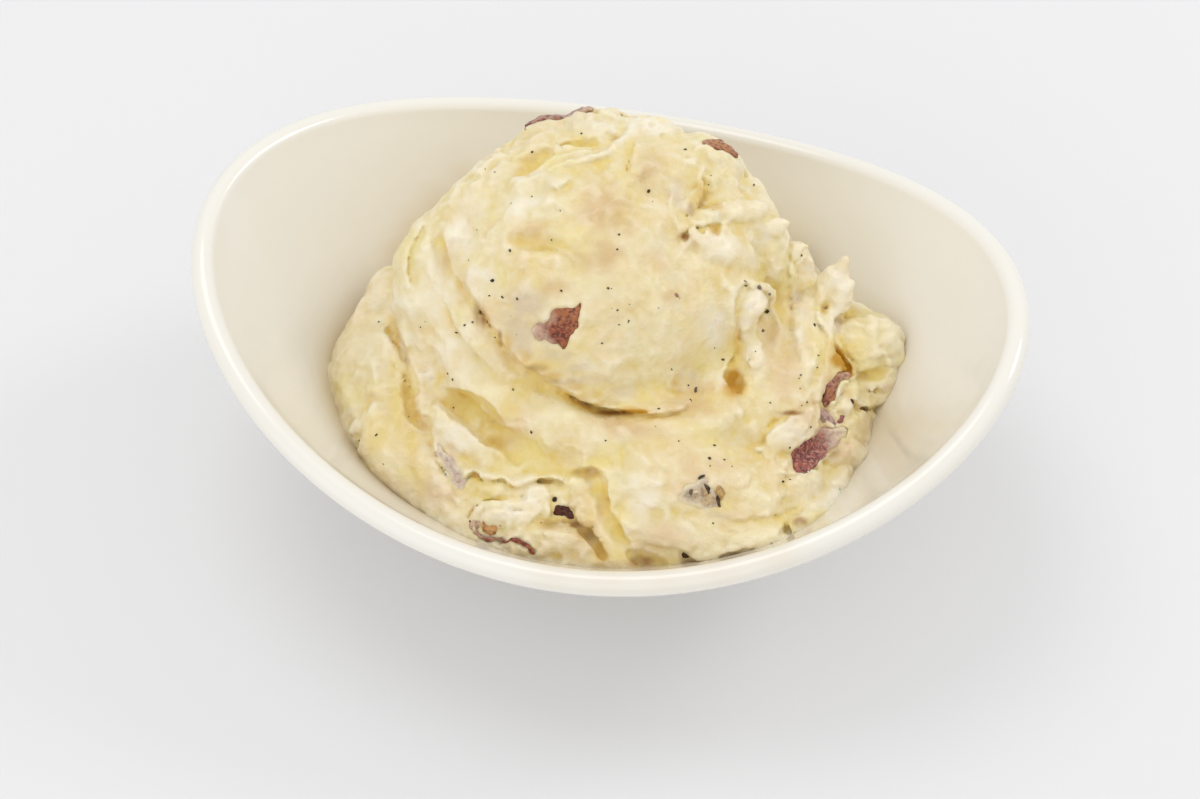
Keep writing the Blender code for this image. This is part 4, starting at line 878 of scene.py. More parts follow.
def bowl_section(angle):
    """The section at one angle, from the middle of the inside, over the lip, to the middle underneath."""
    out, up = plan_normal(angle), Vector((0, 0, 1))
    inside = [inner_point(share, angle) for share in np.linspace(0.04, 0.97, 30)]
    middle = inner_point(1, angle) + out * LIP_RADIUS - up * LIP_RADIUS * LIP_DROP
    lip = [
        middle + (out * math.cos(turn) + up * math.sin(turn)) * LIP_RADIUS
        for turn in np.radians(np.linspace(160, -58, 18))
    ]
    outside = [
        inner_point(share, angle) + outward(share, angle) * WALL for share in np.linspace(0.955, 0.47, 16)
    ]
    return inside + lip + outside + bowl_foot(angle, out, up)


def make_bowl():
    """The bowl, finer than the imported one, with bare clay where it stands."""
    made = bmesh.new()
    rings = []
    for side in range(BOWL_SIDES):
        angle = 2 * math.pi * side / BOWL_SIDES
        rings.append([made.verts.new(point * MM) for point in bowl_section(angle)])
    inner_middle = made.verts.new(inner_point(0, 0) * MM)
    under_middle = made.verts.new((0, 0, FOOT_RECESS * MM))
    for ring, after in zip(rings, rings[1:] + rings[:1]):
        made.faces.new((inner_middle, ring[0], after[0]))
        made.faces.new((under_middle, after[-1], ring[-1]))
        for k in range(len(ring) - 1):
            made.faces.new((ring[k], ring[k + 1], after[k + 1], after[k]))
    bmesh.ops.recalc_face_normals(made, faces=made.faces)
    bowl = finished("bowl_glazed", made)
    bowl.data.materials.append(glaze_material())
    bowl.data.materials.append(clay_material())
    for face in bowl.data.polygons:
        if face.center.z < STANDING_HEIGHT * MM and face.normal.z < -0.5:
            face.material_index = 1
    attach(bowl, "root")
    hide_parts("bowl")
    return bowl


def shade_bowl_wall(bowl, field):
    """Marks painted shade and reflected mash colour on the glaze beside the heap."""
    points = np.array([to_heap(corner.co) for corner in bowl.data.vertices])
    inside = points[:, 2] > FLOOR_HEIGHT
    filled = blurred(field.filled(), WALL_SHADE_REACH / field.step)
    share = np.where(inside, field.sample(points, filled), 0) * np.interp(points[:, 0], (-35, 30), (1.4, 0.7))
    for across, middle, reach, strength in WALL_SHADE_PLACES:
        gap = np.hypot(points[:, 0] - across, points @ UP_THE_FACE - middle) / reach
        share += strength * np.exp(-gap**2)
    share *= np.array([corner.normal.z > 0.1 for corner in bowl.data.vertices])
    limits = (np.array(HEAP_LOW) < points) & (points < np.array(HEAP_HIGH))
    mark(bowl.data, "painted_wall_shade", np.where(limits.all(axis=1), share, 0))


# --- Heap ---------------------------------------------------------------------------------------


def to_row(points):
    """From the heap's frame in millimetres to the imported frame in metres."""
    turn = np.array(Matrix.Rotation(HEAP_TURN, 3, "Z"))
    return np.asarray(points) @ turn.T * MM


def to_heap(point):
    """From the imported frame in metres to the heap's frame in millimetres."""
    return np.array(Matrix.Rotation(-HEAP_TURN, 3, "Z") @ Vector(point)) / MM


def add_peak(field, across, up, rows):
    """A peak that rises up the face and leans out of it."""
    foot = on_face(field, across, up, -0.5)
    placed = []
    for aside, rise, radius in rows:
        point = foot + [aside, 0, 0] + rise * UP_THE_FACE + PEAK_LEAN * rise * TOWARDS_FACE
        placed.append([*point, radius])
    add_strand(field, placed, 0.5)


def heap_forms():
    """The heap's masses, folds and cracks."""
    field = Field(HEAP_LOW, HEAP_HIGH, GRID_STEP)
    add_lumps(field, MASSES)
    add_strand(field, SWEEP, 2.0)
    add_lumps(field, LEFT_LOBE)
    add_strand(field, RIGHT_SHOULDER, 2.0)
    add_lumps(field, LOBES)
    for _, kind, lift, blend, route in STROKES:
        add_stroke(field, kind, lift, blend, route)
    for (across, up), rows in PEAKS:
        add_peak(field, across, up, rows)
    return field


def edge_distance(points, route):
    """Distances on the face from a route, above 0 on its left, with the depth and the share along it."""
    nearest = np.full(len(points), FAR, np.float32)
    side = np.zeros(len(points), np.float32)
    depth = np.zeros(len(points), np.float32)
    share = np.zeros(len(points), np.float32)
    count = len(route) - 1
    for k in range(count):
        start, step = route[k], route[k + 1] - route[k]
        away = points[:, :2] - start[:2]
        t = np.clip(away @ step[:2] / max(float(step[:2] @ step[:2]), 1e-6), 0, 1)
        gap = away - t[:, None] * step[:2]
        distance = np.hypot(gap[:, 0], gap[:, 1])
        closer = distance < nearest
        nearest[closer] = distance[closer]
        side[closer] = np.sign(step[0] * away[closer, 1] - step[1] * away[closer, 0])
        depth[closer] = start[2] + t[closer] * step[2]
        share[closer] = (k + t[closer]) / count
    return nearest * side, depth, share


def step_rise(field, points):
    """How far the laid-over sheets raise and lower the surface at points near it."""
    face = np.stack([points[:, 0], points @ UP_THE_FACE, points @ TOWARDS_FACE], axis=1).astype(np.float32)
    ragged = 0.45 * noise(points, 2.6, 21) + 0.25 * noise(points, 1.3, 22)
    rise = np.zeros(len(points), np.float32)
    for _, height, swell, undercut, places in STEPS:
        found = [(across, up, on_face(field, across, up)) for across, up in places]
        rows = [(across, up, float(point @ TOWARDS_FACE)) for across, up, point in found if point is not None]
        if len(rows) < 2:
            continue
        route = smooth_route(rows, 4).astype(np.float32)
        reach = 3.5 * swell
        low, high = route.min(axis=0) - reach, route.max(axis=0) + reach
        here = np.flatnonzero(((face > low) & (face < high)).all(axis=1))
        distance, depth, share = edge_distance(face[here], route)
        distance += ragged[here]
        above = 0.5 + 0.5 * np.tanh(distance / EDGE_SOFTNESS)
        lift = height * above * np.exp(-np.maximum(distance, 0) / swell)
        lift -= undercut * (1 - above) * np.exp(np.minimum(distance, 0) / (0.4 * swell))
        fade = np.clip(share / EDGE_FADE, 0, 1) * np.clip((1 - share) / EDGE_FADE, 0, 1)
        fade *= np.clip((7 - np.abs(face[here, 2] - depth)) / 3, 0, 1)
        rise[here] += lift * fade
    return rise


def torn_share(points):
    """How torn the mash is at points: 1 where it is torn, 0 where it is smoothed."""
    torn = np.zeros(len(points), np.float32)
    for *middle, reach in TORN_PLACES:
        distance = np.sqrt(((points - np.array(middle, np.float32)) ** 2).sum(axis=1))
        torn = np.maximum(torn, np.clip(1.5 - distance / reach, 0, 1))
    return torn


def add_relief(field):
    """Laid-over sheets, then lumps and creases of several sizes, on the points near the surface."""
    near = np.abs(field.values) < 4.0
    points = (np.argwhere(near) * field.step + field.low).astype(np.float32)
    torn = torn_share(points)
    radius = np.hypot(points[:, 0], points[:, 1] - 8)
    angle = np.arctan2(points[:, 1] - 8, points[:, 0])
    swept_points = np.stack([angle * 13.5, radius, points[:, 2]], axis=1)
    big = noise(points, 15.0, 1)
    middling = noise(points, 6.5, 2)
    lumpy = noise(points, 4.2, 9)
    swept = noise(swept_points, 4.2, 3)
    small = noise(points, 2.7, 5)
    grain = noise(points, 1.4, 7)
    puffed = np.abs(noise(points + 1.8 * lumpy[:, None], 5.0, 4)) * 2
    puffs = np.clip(noise(points, 13.0, 10) * 1.6 + 0.45, 0, 1)
    ridged = 1 - np.abs(noise(points + 1.5 * small[:, None], 5.5, 6)) * 2
    crumbs = 1 - np.abs(noise(points, 2.6, 8)) * 2
    smooth = np.clip(noise(points, 19.0, 11) * 1.5 + 0.55, 0.25, 1)
    rise = 1.15 * big + 0.5 * middling + 0.28 * smooth * lumpy + 0.35 * swept + 0.22 * smooth * small
    rise += 0.2 * grain + puffs * 0.4 * (puffed - 0.45)
    rise += torn * (0.6 * (ridged - 0.5) + 0.35 * (crumbs - 0.5) + 0.3 * small)
    field.values[near] -= rise + step_rise(field, points)


def keep_in_bowl(field):
    """Cuts the heap to the bowl's inside, but for a shallow bite into the wall, and returns the cut."""
    x, y, _ = field.coordinates(field.window(HEAP_LOW, np.array(HEAP_HIGH) + field.step))
    cosine, sine = math.cos(HEAP_TURN), math.sin(HEAP_TURN)
    bowl_x, bowl_y = (x * cosine - y * sine)[:, :, 0], (x * sine + y * cosine)[:, :, 0]
    height = inner_height(bowl_x, bowl_y)
    step = 0.5
    slope_x = (inner_height(bowl_x + step, bowl_y) - inner_height(bowl_x - step, bowl_y)) / (2 * step)
    slope_y = (inner_height(bowl_x, bowl_y + step) - inner_height(bowl_x, bowl_y - step)) / (2 * step)
    steepness = np.sqrt(1 + slope_x**2 + slope_y**2)
    z = field.axes[2][None, None, :]
    under = ((height[:, :, None] - z) / steepness[:, :, None] - BITE).astype(np.float32)
    field.values = np.maximum(field.values, under)
    return under


def mark_hollows(mesh, field, points):
    """Keeps how much mash stands round each point, near and farther off: about half on a flat surface."""
    filled = field.filled()
    for name, size in (("hollow", HOLLOW_SIZE), ("sunken", SUNKEN_SIZE)):
        mark(mesh, name, field.sample(points, blurred(filled, size / field.step)))


def mark_tone_and_light(mesh, points):
    """Keeps how strongly each layer of tone, painted light and painted shade shows at each point."""
    up, ragged = points @ UP_THE_FACE, noise(points.astype(np.float32), 3.5, 41)
    for name, places in TONE_AND_LIGHT_PLACES.items():
        layer_share = np.zeros(len(points))
        for across, middle, reach_across, reach_up in places:
            gap = ((points[:, 0] - across) / reach_across) ** 2 + ((up - middle) / reach_up) ** 2
            layer_share = np.maximum(layer_share, np.exp(-gap**1.5))
        mark(mesh, name, layer_share * np.clip(0.85 + 0.9 * ragged, 0.4, 1))


def thin_out(piece, hidden):
    """Takes faces away where the wall hides them, and then down to the most that the piece may have."""
    group = piece.vertex_groups.new(name="hidden")
    group.add(np.flatnonzero(hidden).tolist(), 1.0, "REPLACE")
    thin = piece.modifiers.new("thin", "DECIMATE")
    thin.vertex_group = "hidden"
    thin.ratio = 1 - HIDDEN_THINNING * hidden.mean()
    applied(piece)
    triangles = sum(face.loop_total - 2 for face in piece.data.polygons)
    lighter = piece.modifiers.new("lighter", "DECIMATE")
    lighter.ratio = min(1, MASH_TRIANGLES / triangles)
    applied(piece)


def make_mash(field):
    """The heap as one piece."""
    under = keep_in_bowl(field)
    points, faces = surface(field)
    mesh = bpy.data.meshes.new("mash_heap")
    mesh.from_pydata(to_row(points).tolist(), [], faces.tolist())
    mark_hollows(mesh, field, points)
    mark_tone_and_light(mesh, points)
    mash = add_piece("mash_heap", mesh)
    thin_out(mash, field.sample(points, under) > -HIDDEN_GAP)
    mash.data.shade_smooth()
    mash.data.materials.append(potato_material())
    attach(mash, "root")
    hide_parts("mash")


# --- Scraps and pepper --------------------------------------------------------------------------


def closed_line(points, gap):
    """A smooth closed line through points, with rows about a gap apart."""
    points = np.array(points, float)
    wrapped = np.vstack([points[-1], points, points[:2]])
    steps = 12
    line = smooth_route(wrapped, steps)[steps:-steps]
    length = np.concatenate([[0], np.cumsum(np.hypot(*np.diff(line, axis=0).T))])
    wanted = np.linspace(0, length[-1], max(8, int(length[-1] / gap)), endpoint=False)
    return np.stack([np.interp(wanted, length, line[:, k]) for k in range(2)], axis=1)


def outline_distance(points, outline):
    """Distance to a closed outline in its plane, above 0 inside."""
    nearest = np.full(len(points), FAR)
    inside = np.zeros(len(points), bool)
    for a, b in zip(outline, np.roll(outline, -1, axis=0)):
        away, step = points - a, b - a
        t = np.clip(away @ step / max(float(step @ step), 1e-9), 0, 1)
        nearest = np.minimum(nearest, np.hypot(*(away - t[:, None] * step).T))
        crosses = (a[1] > points[:, 1]) != (b[1] > points[:, 1])
        rise = b[1] - a[1] if b[1] != a[1] else 1e-9
        inside ^= crosses & (points[:, 0] < a[0] + (points[:, 1] - a[1]) * step[0] / rise)
    return np.where(inside, nearest, -nearest)


class Patch:
    """The plane that a scrap faces: its middle, axes and outline, and how far the scrap stands off."""

    def __init__(self, middle, facing, outline, seed, lift, depths):
        self.middle = middle
        self.facing = TOWARDS_FACE if facing is None else np.array(facing) / np.linalg.norm(facing)
        across = np.array([1.0, 0, 0]) - self.facing * self.facing[0]
        self.across = across / np.linalg.norm(across)
        self.up = np.cross(self.facing, self.across)
        line = closed_line(outline, 0.4)
        wave = np.column_stack([line, np.full(len(line), seed * 7.0)]).astype(np.float32)
        self.outline = line + 0.5 * np.stack([noise(wave, 1.7, 31), noise(wave, 1.7, 32)], axis=1)
        self.lift = lift
        self.depths = np.arange(*depths, -0.25)

    def flat(self, points):
        """Places on the plane, and heights over it."""
        away = points - self.middle
        return np.stack([away @ self.across, away @ self.up], axis=-1), away @ self.facing

    def solid(self, flat, depth):
        """The points over places on the plane."""
        return self.middle + flat[:, :1] * self.across + flat[:, 1:] * self.up + depth[:, None] * self.facing

    def laid(self, field, values, flat):
        """Heights of a scrap laid on the surface, softly averaged between neighbours."""
        depth = np.full(len(flat), np.nan)
        for k, place in enumerate(flat):
            foot = self.middle + place[0] * self.across + place[1] * self.up
            inside = field.sample(foot + self.depths[:, None] * self.facing, values) < 0
            if inside.any():
                depth[k] = self.depths[int(inside.argmax())]
        depth[np.isnan(depth)] = np.nanmin(depth)
        gap = ((flat[:, None] - flat[None]) ** 2).sum(axis=2)
        weight = np.exp(-gap / (2 * LAID_SOFTNESS**2))
        return weight @ depth / weight.sum(axis=1) + self.lift


def press_in(field, patch, depth):
    """Lowers the mash under a scrap, so that a lip of mash stands round it."""
    near = np.argwhere(np.abs(field.values) < 3.0)
    points = near * field.step + field.low
    reach = np.abs(patch.outline).max() + 2
    close = np.abs(points - patch.middle).max(axis=1) < reach + 6
    near, points = near[close], points[close]
    flat, away = patch.flat(points)
    ragged = 0.35 * noise(points.astype(np.float32), 1.6, 33)
    inside = outline_distance(flat, patch.outline) + ragged
    share = np.clip(inside / 0.7 + 0.3, 0, 1) * (np.abs(away) < 8)
    field.values[tuple(near.T)] += (depth * share).astype(np.float32)


def filled_outline(outline):
    """Points in an outline and on it, and the triangles between them."""
    low, high = outline.min(axis=0), outline.max(axis=0)
    grid = np.array([
        (x + (SCRAP_STEP / 2 if row % 2 else 0), y)
        for row, y in enumerate(np.arange(low[1], high[1], SCRAP_STEP * 0.87))
        for x in np.arange(low[0], high[0], SCRAP_STEP)
    ])
    grid = grid[outline_distance(grid, outline) > 0.22]
    count = len(outline)
    given = [Vector(p) for p in (*outline, *grid)]
    edges = [(k, (k + 1) % count) for k in range(count)]
    found = delaunay_2d_cdt(given, edges, [], 1, 1e-5)
    return np.array([tuple(p) for p in found[0]]), found[2]


def thick_sheet(tops, bottoms, faces):
    """A closed sheet between two rows of points."""
    made = bmesh.new()
    top = [made.verts.new(p) for p in tops]
    bottom = [made.verts.new(p) for p in bottoms]
    uses = {}
    for face in faces:
        made.faces.new([top[k] for k in face])
        made.faces.new([bottom[k] for k in reversed(face)])
        for pair in zip(face, [*face[1:], face[0]]):
            uses[pair] = True
    for a, b in uses:
        if (b, a) not in uses:
            made.faces.new((top[b], top[a], bottom[a], bottom[b]))
    bmesh.ops.recalc_face_normals(made, faces=made.faces)
    return made


def make_scrap(name, patch, field, values, thickness, film):
    """A thin ragged scrap that follows the mash, and how much of a film of mash covers it."""
    flat, faces = filled_outline(patch.outline)
    depth = patch.laid(field, values, flat)
    rough = np.column_stack([flat, np.full(len(flat), len(name) * 3.0)]).astype(np.float32)
    depth = depth + 0.16 * noise(rough, 1.5, 34) + 0.12 * noise(rough, 0.8, 35)
    edge = outline_distance(flat, patch.outline)
    depth -= 0.25 * np.clip(1 - edge / 0.5, 0, 1)
    made = thick_sheet(to_row(patch.solid(flat, depth)), to_row(patch.solid(flat, depth - thickness)), faces)
    scrap = finished(name, made)
    cover = film[0] * flat[:, 0] + film[1] * flat[:, 1] + film[2] + 0.30 * noise(rough, 2.2, 36)
    cover += 0.25 * noise(rough, 0.9, 37) + film[3] * np.clip(1 - edge / 1.5, 0, 1)
    mark(scrap.data, "film", np.concatenate([cover, cover]))
    return scrap


def make_skins(field):
    """The scraps that stand for packed ones, each pressed into the mash and laid on it as it was before."""
    laid = []
    for number, (node, facts) in enumerate(SKINS.items()):
        low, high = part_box(node)
        middle = to_heap((Vector(low) + Vector(high)) / 2)
        patch = Patch(middle, facts["facing"], facts["outline"], number, facts["lift"], SKIN_DEPTHS)
        laid.append((node, facts, patch, field.values.copy()))
        press_in(field, patch, facts["press"])
    for node, facts, patch, values in laid:
        scrap = make_scrap(node + "_scrap", patch, field, values, SKIN_THICKNESS, facts["film"])
        scrap.data.materials.append(skin_material("red_" + node, *facts["colours"]))
        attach(scrap, "root")
        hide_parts(node)


def make_bits(field):
    """The small bits, each an uneven oval."""
    ring = np.linspace(0, math.tau, 9)[:-1]
    for number, (name, (across, up), half_sizes, turn, lift, colour) in enumerate(SMALL_BITS):
        oval = np.stack([half_sizes[0] * np.cos(ring), half_sizes[1] * np.sin(ring)], axis=1)
        cosine, sine = math.cos(math.radians(turn)), math.sin(math.radians(turn))
        outline = oval @ np.array([[cosine, sine], [-sine, cosine]])
        point = on_face(field, across, up)
        patch = Patch(point, None, outline, 20 + number, lift, BIT_DEPTHS)
        bit = make_scrap(name, patch, field, field.values, BIT_THICKNESS, BIT_FILM)
        dark = [0.35 * c for c in colour]
        pale = [0.8 * c + 0.05 for c in colour]
        bit.data.materials.append(skin_material(name, dark, colour, pale, colour, moist=0.08))
        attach(bit, "root")


def make_pepper(field):
    """Coarse grains of pepper, half sunk in the face of the mash."""
    chance = np.random.default_rng(5)
    wanted = [(across, up, size, 0.45) for across, up, size in PEPPER]
    while len(wanted) < len(PEPPER) + PEPPER_MORE:
        across, up = chance.uniform(-58, 62), chance.uniform(-18, 78)
        wanted.append((across, up, chance.uniform(0.2, 0.38), 0.6))
    made = bmesh.new()
    for across, up, size, squat in wanted:
        point = on_face(field, across, up, 0.25 * size)
        if point is None or point[2] < PEPPER_LOWEST:
            continue
        grain = bmesh.ops.create_icosphere(made, subdivisions=1, radius=1)["verts"]
        spin = Matrix.Rotation(chance.uniform(0, math.tau), 3, "Z")
        turn = spin @ Matrix.Rotation(chance.uniform(0, math.tau), 3, "X")
        longer = size * np.array([1.0, squat + chance.uniform(0.05, 0.35), squat + chance.uniform(0.0, 0.25)])
        middle = Vector(to_row(point))
        for corner in grain:
            uneven = 1 + 0.28 * chance.standard_normal()
            corner.co = middle + turn @ Vector(c * k * uneven for c, k in zip(corner.co, longer)) * MM
    mesh = bpy.data.meshes.new("pepper")
    made.to_mesh(mesh)
    made.free()
    pepper = add_piece("pepper", mesh)
    pepper.data.materials.append(pepper_material())
    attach(pepper, "root")


# --- Scene helpers ------------------------------------------------------------------------------


def add_piece(name, mesh):
    made = bpy.data.objects.new(name, mesh)
    bpy.context.scene.collection.objects.link(made)
    return made


def finished(name, made):
    """The piece of a mesh under work, smoothly shaded."""
    mesh = bpy.data.meshes.new(name)
    made.to_mesh(mesh)
    made.free()
    mesh.shade_smooth()
    return add_piece(name, mesh)


def applied(piece):
    """Carries out the piece's modifiers."""
    bpy.context.view_layer.update()
    ready = piece.evaluated_get(bpy.context.evaluated_depsgraph_get())
    mesh = bpy.data.meshes.new_from_object(ready)
    piece.modifiers.clear()
    piece.data = mesh


def mark(mesh, name, values):
    """Keeps a number at each point of a mesh, for its material."""
    made = mesh.attributes.new(name, "FLOAT", "POINT")
    made.data.foreach_set("value", np.asarray(values, np.float32))


# --- Materials ----------------------------------------------------------------------------------


def add_node(tree, kind, inputs=None, **settings):
    """A node whose inputs are values, or sockets to link."""
    made = tree.nodes.new(kind)
    for key, value in settings.items():
        setattr(made, key, value)
    for key, value in (inputs or {}).items():
        if isinstance(value, bpy.types.NodeSocket):
            tree.links.new(value, made.inputs[key])
        else:
            made.inputs[key].default_value = value
    return made


def add_math(tree, operation, *values, clamp=False):
    inputs = dict(enumerate(values))
    return add_node(tree, "ShaderNodeMath", inputs, operation=operation, use_clamp=clamp).outputs[0]


def add_range(tree, **limits):
    """A value carried from one range to another."""
    inputs = {key.replace("_", " "): value for key, value in limits.items()}
    return add_node(tree, "ShaderNodeMapRange", inputs).outputs["Result"]


def attribute(tree, name):
    """A number kept at the mesh's points."""
    return add_node(tree, "ShaderNodeAttribute", attribute_name=name).outputs["Fac"]


def new_group(name, inputs, output):
    """An empty shader node group with named inputs and one output, and its two end nodes."""
    group = bpy.data.node_groups.new(name, "ShaderNodeTree")
    for label, value in inputs.items():
        made = group.interface.new_socket(label, in_out="INPUT", socket_type="NodeSocketFloat")
        made.default_value = value
    group.interface.new_socket(output, in_out="OUTPUT", socket_type="NodeSocketFloat")
    return group, group.nodes.new("NodeGroupInput").outputs, group.nodes.new("NodeGroupOutput").inputs


def placed(group, given):
    """Object coordinates in units of the given size, moved aside by the seed."""
    where = add_node(group, "ShaderNodeTexCoord").outputs["Object"]
    seeds = {axis: given["Seed"] for axis in "XYZ"}
    aside = add_node(group, "ShaderNodeCombineXYZ", seeds).outputs[0]
    scale = add_math(group, "DIVIDE", 1.0, given["Size"])
    sized = add_node(group, "ShaderNodeVectorMath", {0: where, "Scale": scale}, operation="SCALE").outputs[0]
    return add_node(group, "ShaderNodeVectorMath", {0: sized, 1: aside}, operation="ADD").outputs[0]


def make_patches_group():
    """Soft patches, from 0 to 1: their size in metres, how sharp and how common they are, and a seed."""
    start = {"Size": 0.01, "Edge": 0.1, "Level": 0.5, "Seed": 0.0}
    group, given, put = new_group("patches", start, "Mask")
    inputs = {"Vector": placed(group, given), "Scale": 1.0, "Detail": 2.0, "Roughness": 0.55}
    cloud = add_node(group, "ShaderNodeTexNoise", inputs).outputs["Fac"]
    low = add_math(group, "SUBTRACT", given["Level"], given["Edge"])
    high = add_math(group, "ADD", given["Level"], given["Edge"])
    group.links.new(add_range(group, Value=cloud, From_Min=low, From_Max=high), put["Mask"])
    return group


def make_grain_group():
    """Fine unevenness of one size, as a height in metres."""
    group, given, put = new_group("grain", {"Size": 0.001, "Depth": 0.0001, "Seed": 0.0}, "Height")
    soft = {"Vector": placed(group, given), "Scale": 1.0, "Detail": 1.5, "Roughness": 0.6}
    cloud = add_node(group, "ShaderNodeTexNoise", soft).outputs["Fac"]
    group.links.new(add_math(group, "MULTIPLY", cloud, given["Depth"]), put["Height"])
    return group


def use(tree, group, **inputs):
    """The output of a group placed in a material with its own values."""
    return add_node(tree, "ShaderNodeGroup", node_tree=group, inputs=inputs).outputs[0]


def patches(tree, size, edge, level, seed):
    return use(tree, PATCHES, Size=size, Edge=edge, Level=level, Seed=seed)


def grain(tree, size, depth, seed):
    return use(tree, GRAIN, Size=size, Depth=depth, Seed=seed)


def mix(tree, share, first, second):
    """The second colour laid over the first by a share."""
    made = add_node(tree, "ShaderNodeMix", data_type="RGBA", blend_type="MIX")
    for socket, value in zip((made.inputs[0], made.inputs[6], made.inputs[7]), (share, first, second)):
        if isinstance(value, bpy.types.NodeSocket):
            tree.links.new(value, socket)
        else:
            socket.default_value = (*value, 1)
    return made.outputs[2]


def steps(tree, value, stops):
    """Colours that follow a value, through stops of position and colour."""
    made = add_node(tree, "ShaderNodeValToRGB", {"Fac": value})
    ramp = made.color_ramp
    while len(ramp.elements) < len(stops):
        ramp.elements.new(0.5)
    for element, (position, colour) in zip(ramp.elements, stops):
        element.position = position
        element.color = (*colour, 1)
    return made.outputs["Color"]


def new_material(name, **constants):
    """A material's tree and shader, with the shader's constant values set."""
    made = bpy.data.materials.new(name)
    made.use_nodes = True
    shader = made.node_tree.nodes["Principled BSDF"]
    for key, value in constants.items():
        shader.inputs[key.replace("_", " ")].default_value = value
    return made, made.node_tree, shader


def vary_roughness(tree, shader, share, low, high):
    tree.links.new(add_range(tree, Value=share, To_Min=low, To_Max=high), shader.inputs["Roughness"])


def add_bump(tree, shader, *grains):
    """Bump from one grain, or from two added together."""
    height = grains[0] if len(grains) == 1 else add_math(tree, "ADD", *grains)
    bump = add_node(tree, "ShaderNodeBump", {"Height": height, "Strength": 1.0, "Distance": 1.0})
    tree.links.new(bump.outputs["Normal"], shader.inputs["Normal"])


def potato_material():
    """Creamy mash: paler on its ridges and with painted shade, darker and yellower, in its hollows; tinted in
    places and painted with light and shade in others; moist and finely grained.
    """
    look, tree, shader = new_material(
        "potato",
        Subsurface_Weight=0.6,
        Subsurface_Radius=(1.0, 0.75, 0.45),
        Subsurface_Scale=0.0007,
        Specular_IOR_Level=0.3,
        Coat_Roughness=0.22,
    )
    hollow, sunken = attribute(tree, "hollow"), attribute(tree, "sunken")
    hollow = add_math(tree, "ADD", hollow, add_math(tree, "MULTIPLY_ADD", sunken, 0.3, -0.15))
    sheen = add_range(tree, Value=hollow, From_Min=0.4, From_Max=0.65, To_Min=0.35, To_Max=0.0)
    tree.links.new(sheen, shader.inputs["Coat Weight"])
    # painted shade: the colour darkens and turns yellower towards the hollows
    base = steps(tree, hollow, HOLLOW_SHADE_COLOURS)
    for size, edge, level, seed, strength, colour in MASH_PATCHES:
        patch = patches(tree, size, edge, level, seed)
        base = mix(tree, add_math(tree, "MULTIPLY", patch, strength), base, colour)
    # layers of the mash's own tone, painted light and painted shade
    for name, strength, colour in TONE_AND_LIGHT_LAYERS:
        layer_share = add_math(tree, "MULTIPLY", attribute(tree, name), strength, clamp=True)
        base = mix(tree, layer_share, base, colour)
    tree.links.new(base, shader.inputs["Base Color"])
    vary_roughness(tree, shader, patches(tree, 0.006, 0.15, 0.5, 4.0), 0.36, 0.55)
    add_bump(tree, shader, grain(tree, 0.0022, 0.00032, 1.0), grain(tree, 0.0007, 0.00017, 2.0))
    return look


def skin_material(name, dark, main, pale, warm, moist=0.2):
    """Cooked potato skin: mottled, with dark specks, under a film of mash where there is any."""
    look, tree, shader = new_material(
        name,
        Subsurface_Weight=0.15,
        Subsurface_Radius=(1.0, 0.4, 0.25),
        Subsurface_Scale=0.0004,
        Coat_Weight=moist,
        Coat_Roughness=0.22,
        Specular_IOR_Level=0.25,
    )
    base = mix(tree, patches(tree, 0.0035, 0.12, 0.5, 7.0), main, warm)
    mottle = patches(tree, 0.0011, 0.07, 0.53, 8.0)
    base = mix(tree, add_math(tree, "MULTIPLY", mottle, 0.75), base, dark)
    specks = patches(tree, 0.0007, 0.06, 0.58, 9.0)
    base = mix(tree, add_math(tree, "MULTIPLY", specks, 0.6), base, pale)
    film = attribute(tree, "film")
    veil = [0.45 * p + 0.55 * c for p, c in zip(pale, VEIL_COLOUR)]
    base = mix(tree, add_math(tree, "MULTIPLY", film, 1.1, clamp=True), base, veil)
    covered = add_math(tree, "MULTIPLY", add_math(tree, "SUBTRACT", film, 0.75), 1.8, clamp=True)
    base = mix(tree, covered, base, FILM_COLOUR)
    tree.links.new(base, shader.inputs["Base Color"])
    vary_roughness(tree, shader, mottle, 0.32, 0.5)
    add_bump(tree, shader, grain(tree, 0.0012, 0.00045, 4.0), grain(tree, 0.0005, 0.00018, 5.0))
    return look


def pepper_material():
    """Ground pepper: dark brownish to olive, dry and rough."""
    look, tree, shader = new_material("pepper", Roughness=0.8, Specular_IOR_Level=0.2)
    shade = patches(tree, 0.004, 0.1, 0.5, 10.0)
    tree.links.new(mix(tree, shade, *PEPPER_COLOURS), shader.inputs["Base Color"])
    add_bump(tree, shader, grain(tree, 0.0004, 0.0002, 6.0))
    return look


def clay_material():
    """The bare stoneware of the ring that the bowl stands on."""
    look, tree, shader = new_material("bare_clay", Roughness=0.75)
    speckled = patches(tree, 0.0012, 0.08, 0.55, 13.0)
    tree.links.new(mix(tree, speckled, *CLAY_COLOURS), shader.inputs["Base Color"])
    add_bump(tree, shader, grain(tree, 0.0006, 0.0001, 7.0))
    return look


def glaze_material():
    """Ivory glaze over stoneware, glossy and very slightly uneven, with painted shade and reflected mash
    colour beside the mash.
    """
    look, tree, shader = new_material("glaze", Coat_Weight=0.3, Coat_Roughness=0.08)
    base = mix(tree, patches(tree, 0.05, 0.25, 0.5, 5.0), *GLAZE_COLOURS)
    # painted shade and reflected mash colour beside the heap
    wall_shade_share = add_math(tree, "MULTIPLY", attribute(tree, "painted_wall_shade"), 1.5, clamp=True)
    base = mix(tree, wall_shade_share, base, WALL_SHADE_COLOUR)
    tree.links.new(base, shader.inputs["Base Color"])
    vary_roughness(tree, shader, patches(tree, 0.02, 0.2, 0.5, 6.0), 0.12, 0.20)
    add_bump(tree, shader, grain(tree, 0.006, 0.00003, 3.0))
    return look


# --- Light, floor and camera --------------------------------------------------------------------


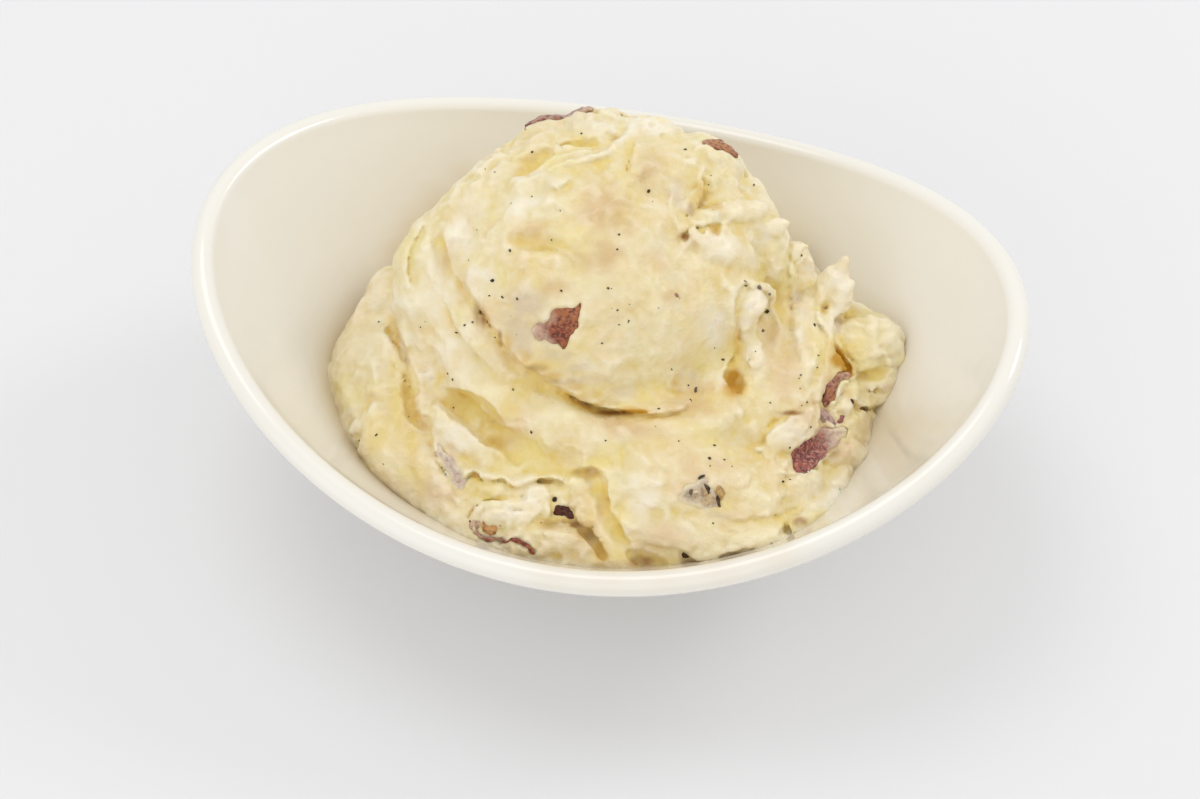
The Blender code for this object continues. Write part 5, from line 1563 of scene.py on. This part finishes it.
def make_camera():
    sideways = Vector((math.cos(CAMERA_AZIMUTH), math.sin(CAMERA_AZIMUTH), 0))
    level = Vector((math.sin(CAMERA_AZIMUTH), -math.cos(CAMERA_AZIMUTH), 0))
    back = level * math.cos(CAMERA_ELEVATION) + Vector((0, 0, math.sin(CAMERA_ELEVATION)))
    up = back.cross(sideways)
    place = CAMERA_TARGET + back * CAMERA_DISTANCE
    data = bpy.data.cameras.new("camera")
    data.lens = CAMERA_LENS
    data.sensor_width = SENSOR_WIDTH
    camera = bpy.data.objects.new("camera", data)
    rows = [(sideways[k], up[k], back[k], place[k]) for k in range(3)]
    camera.matrix_world = Matrix([*rows, (0, 0, 0, 1)])
    bpy.context.scene.collection.objects.link(camera)
    bpy.context.scene.camera = camera


def add_softbox(name, place, size, power):
    """A round soft light that looks at the middle of the heap."""
    data = bpy.data.lights.new(name, "AREA")
    data.shape = "DISK"
    data.size = size
    data.energy = power
    lamp = bpy.data.objects.new(name, data)
    lamp.location = place
    lamp.rotation_euler = (LIGHT_TARGET - Vector(place)).to_track_quat("-Z", "Y").to_euler()
    bpy.context.scene.collection.objects.link(lamp)


def make_light():
    world = bpy.data.worlds.new("studio")
    world.use_nodes = True
    background = world.node_tree.nodes["Background"]
    background.inputs["Color"].default_value = (1, 1, 1, 1)
    background.inputs["Strength"].default_value = 0.85
    bpy.context.scene.world = world
    bpy.context.scene.view_settings.view_transform = "Standard"
    add_softbox("softbox_above", (-0.35, 0.25, 1.2), 0.7, 2.5)
    add_softbox("softbox_right", (0.8, 0.6, 0.8), 0.4, 2.2)
    add_softbox("softbox_front", (-0.3, -1.1, 0.35), 1.6, 3.5)


def make_floor():
    half = FLOOR_SIZE / 2
    corners = [(-half, -half, 0), (half, -half, 0), (half, half, 0), (-half, half, 0)]
    mesh = bpy.data.meshes.new("floor")
    mesh.from_pydata(corners, [], [(0, 1, 2, 3)])
    floor = add_piece("floor", mesh)
    look, _, _ = new_material("floor", Base_Color=(0.78, 0.78, 0.79, 1), Roughness=0.7)
    mesh.materials.append(look)


# --- Making it ----------------------------------------------------------------------------------

PATCHES = make_patches_group()
GRAIN = make_grain_group()
make_camera()
make_light()
make_floor()

bowl = make_bowl()
heap = heap_forms()
add_relief(heap)
make_skins(heap)
make_bits(heap)
make_pepper(heap)
shade_bowl_wall(bowl, heap)
make_mash(heap)
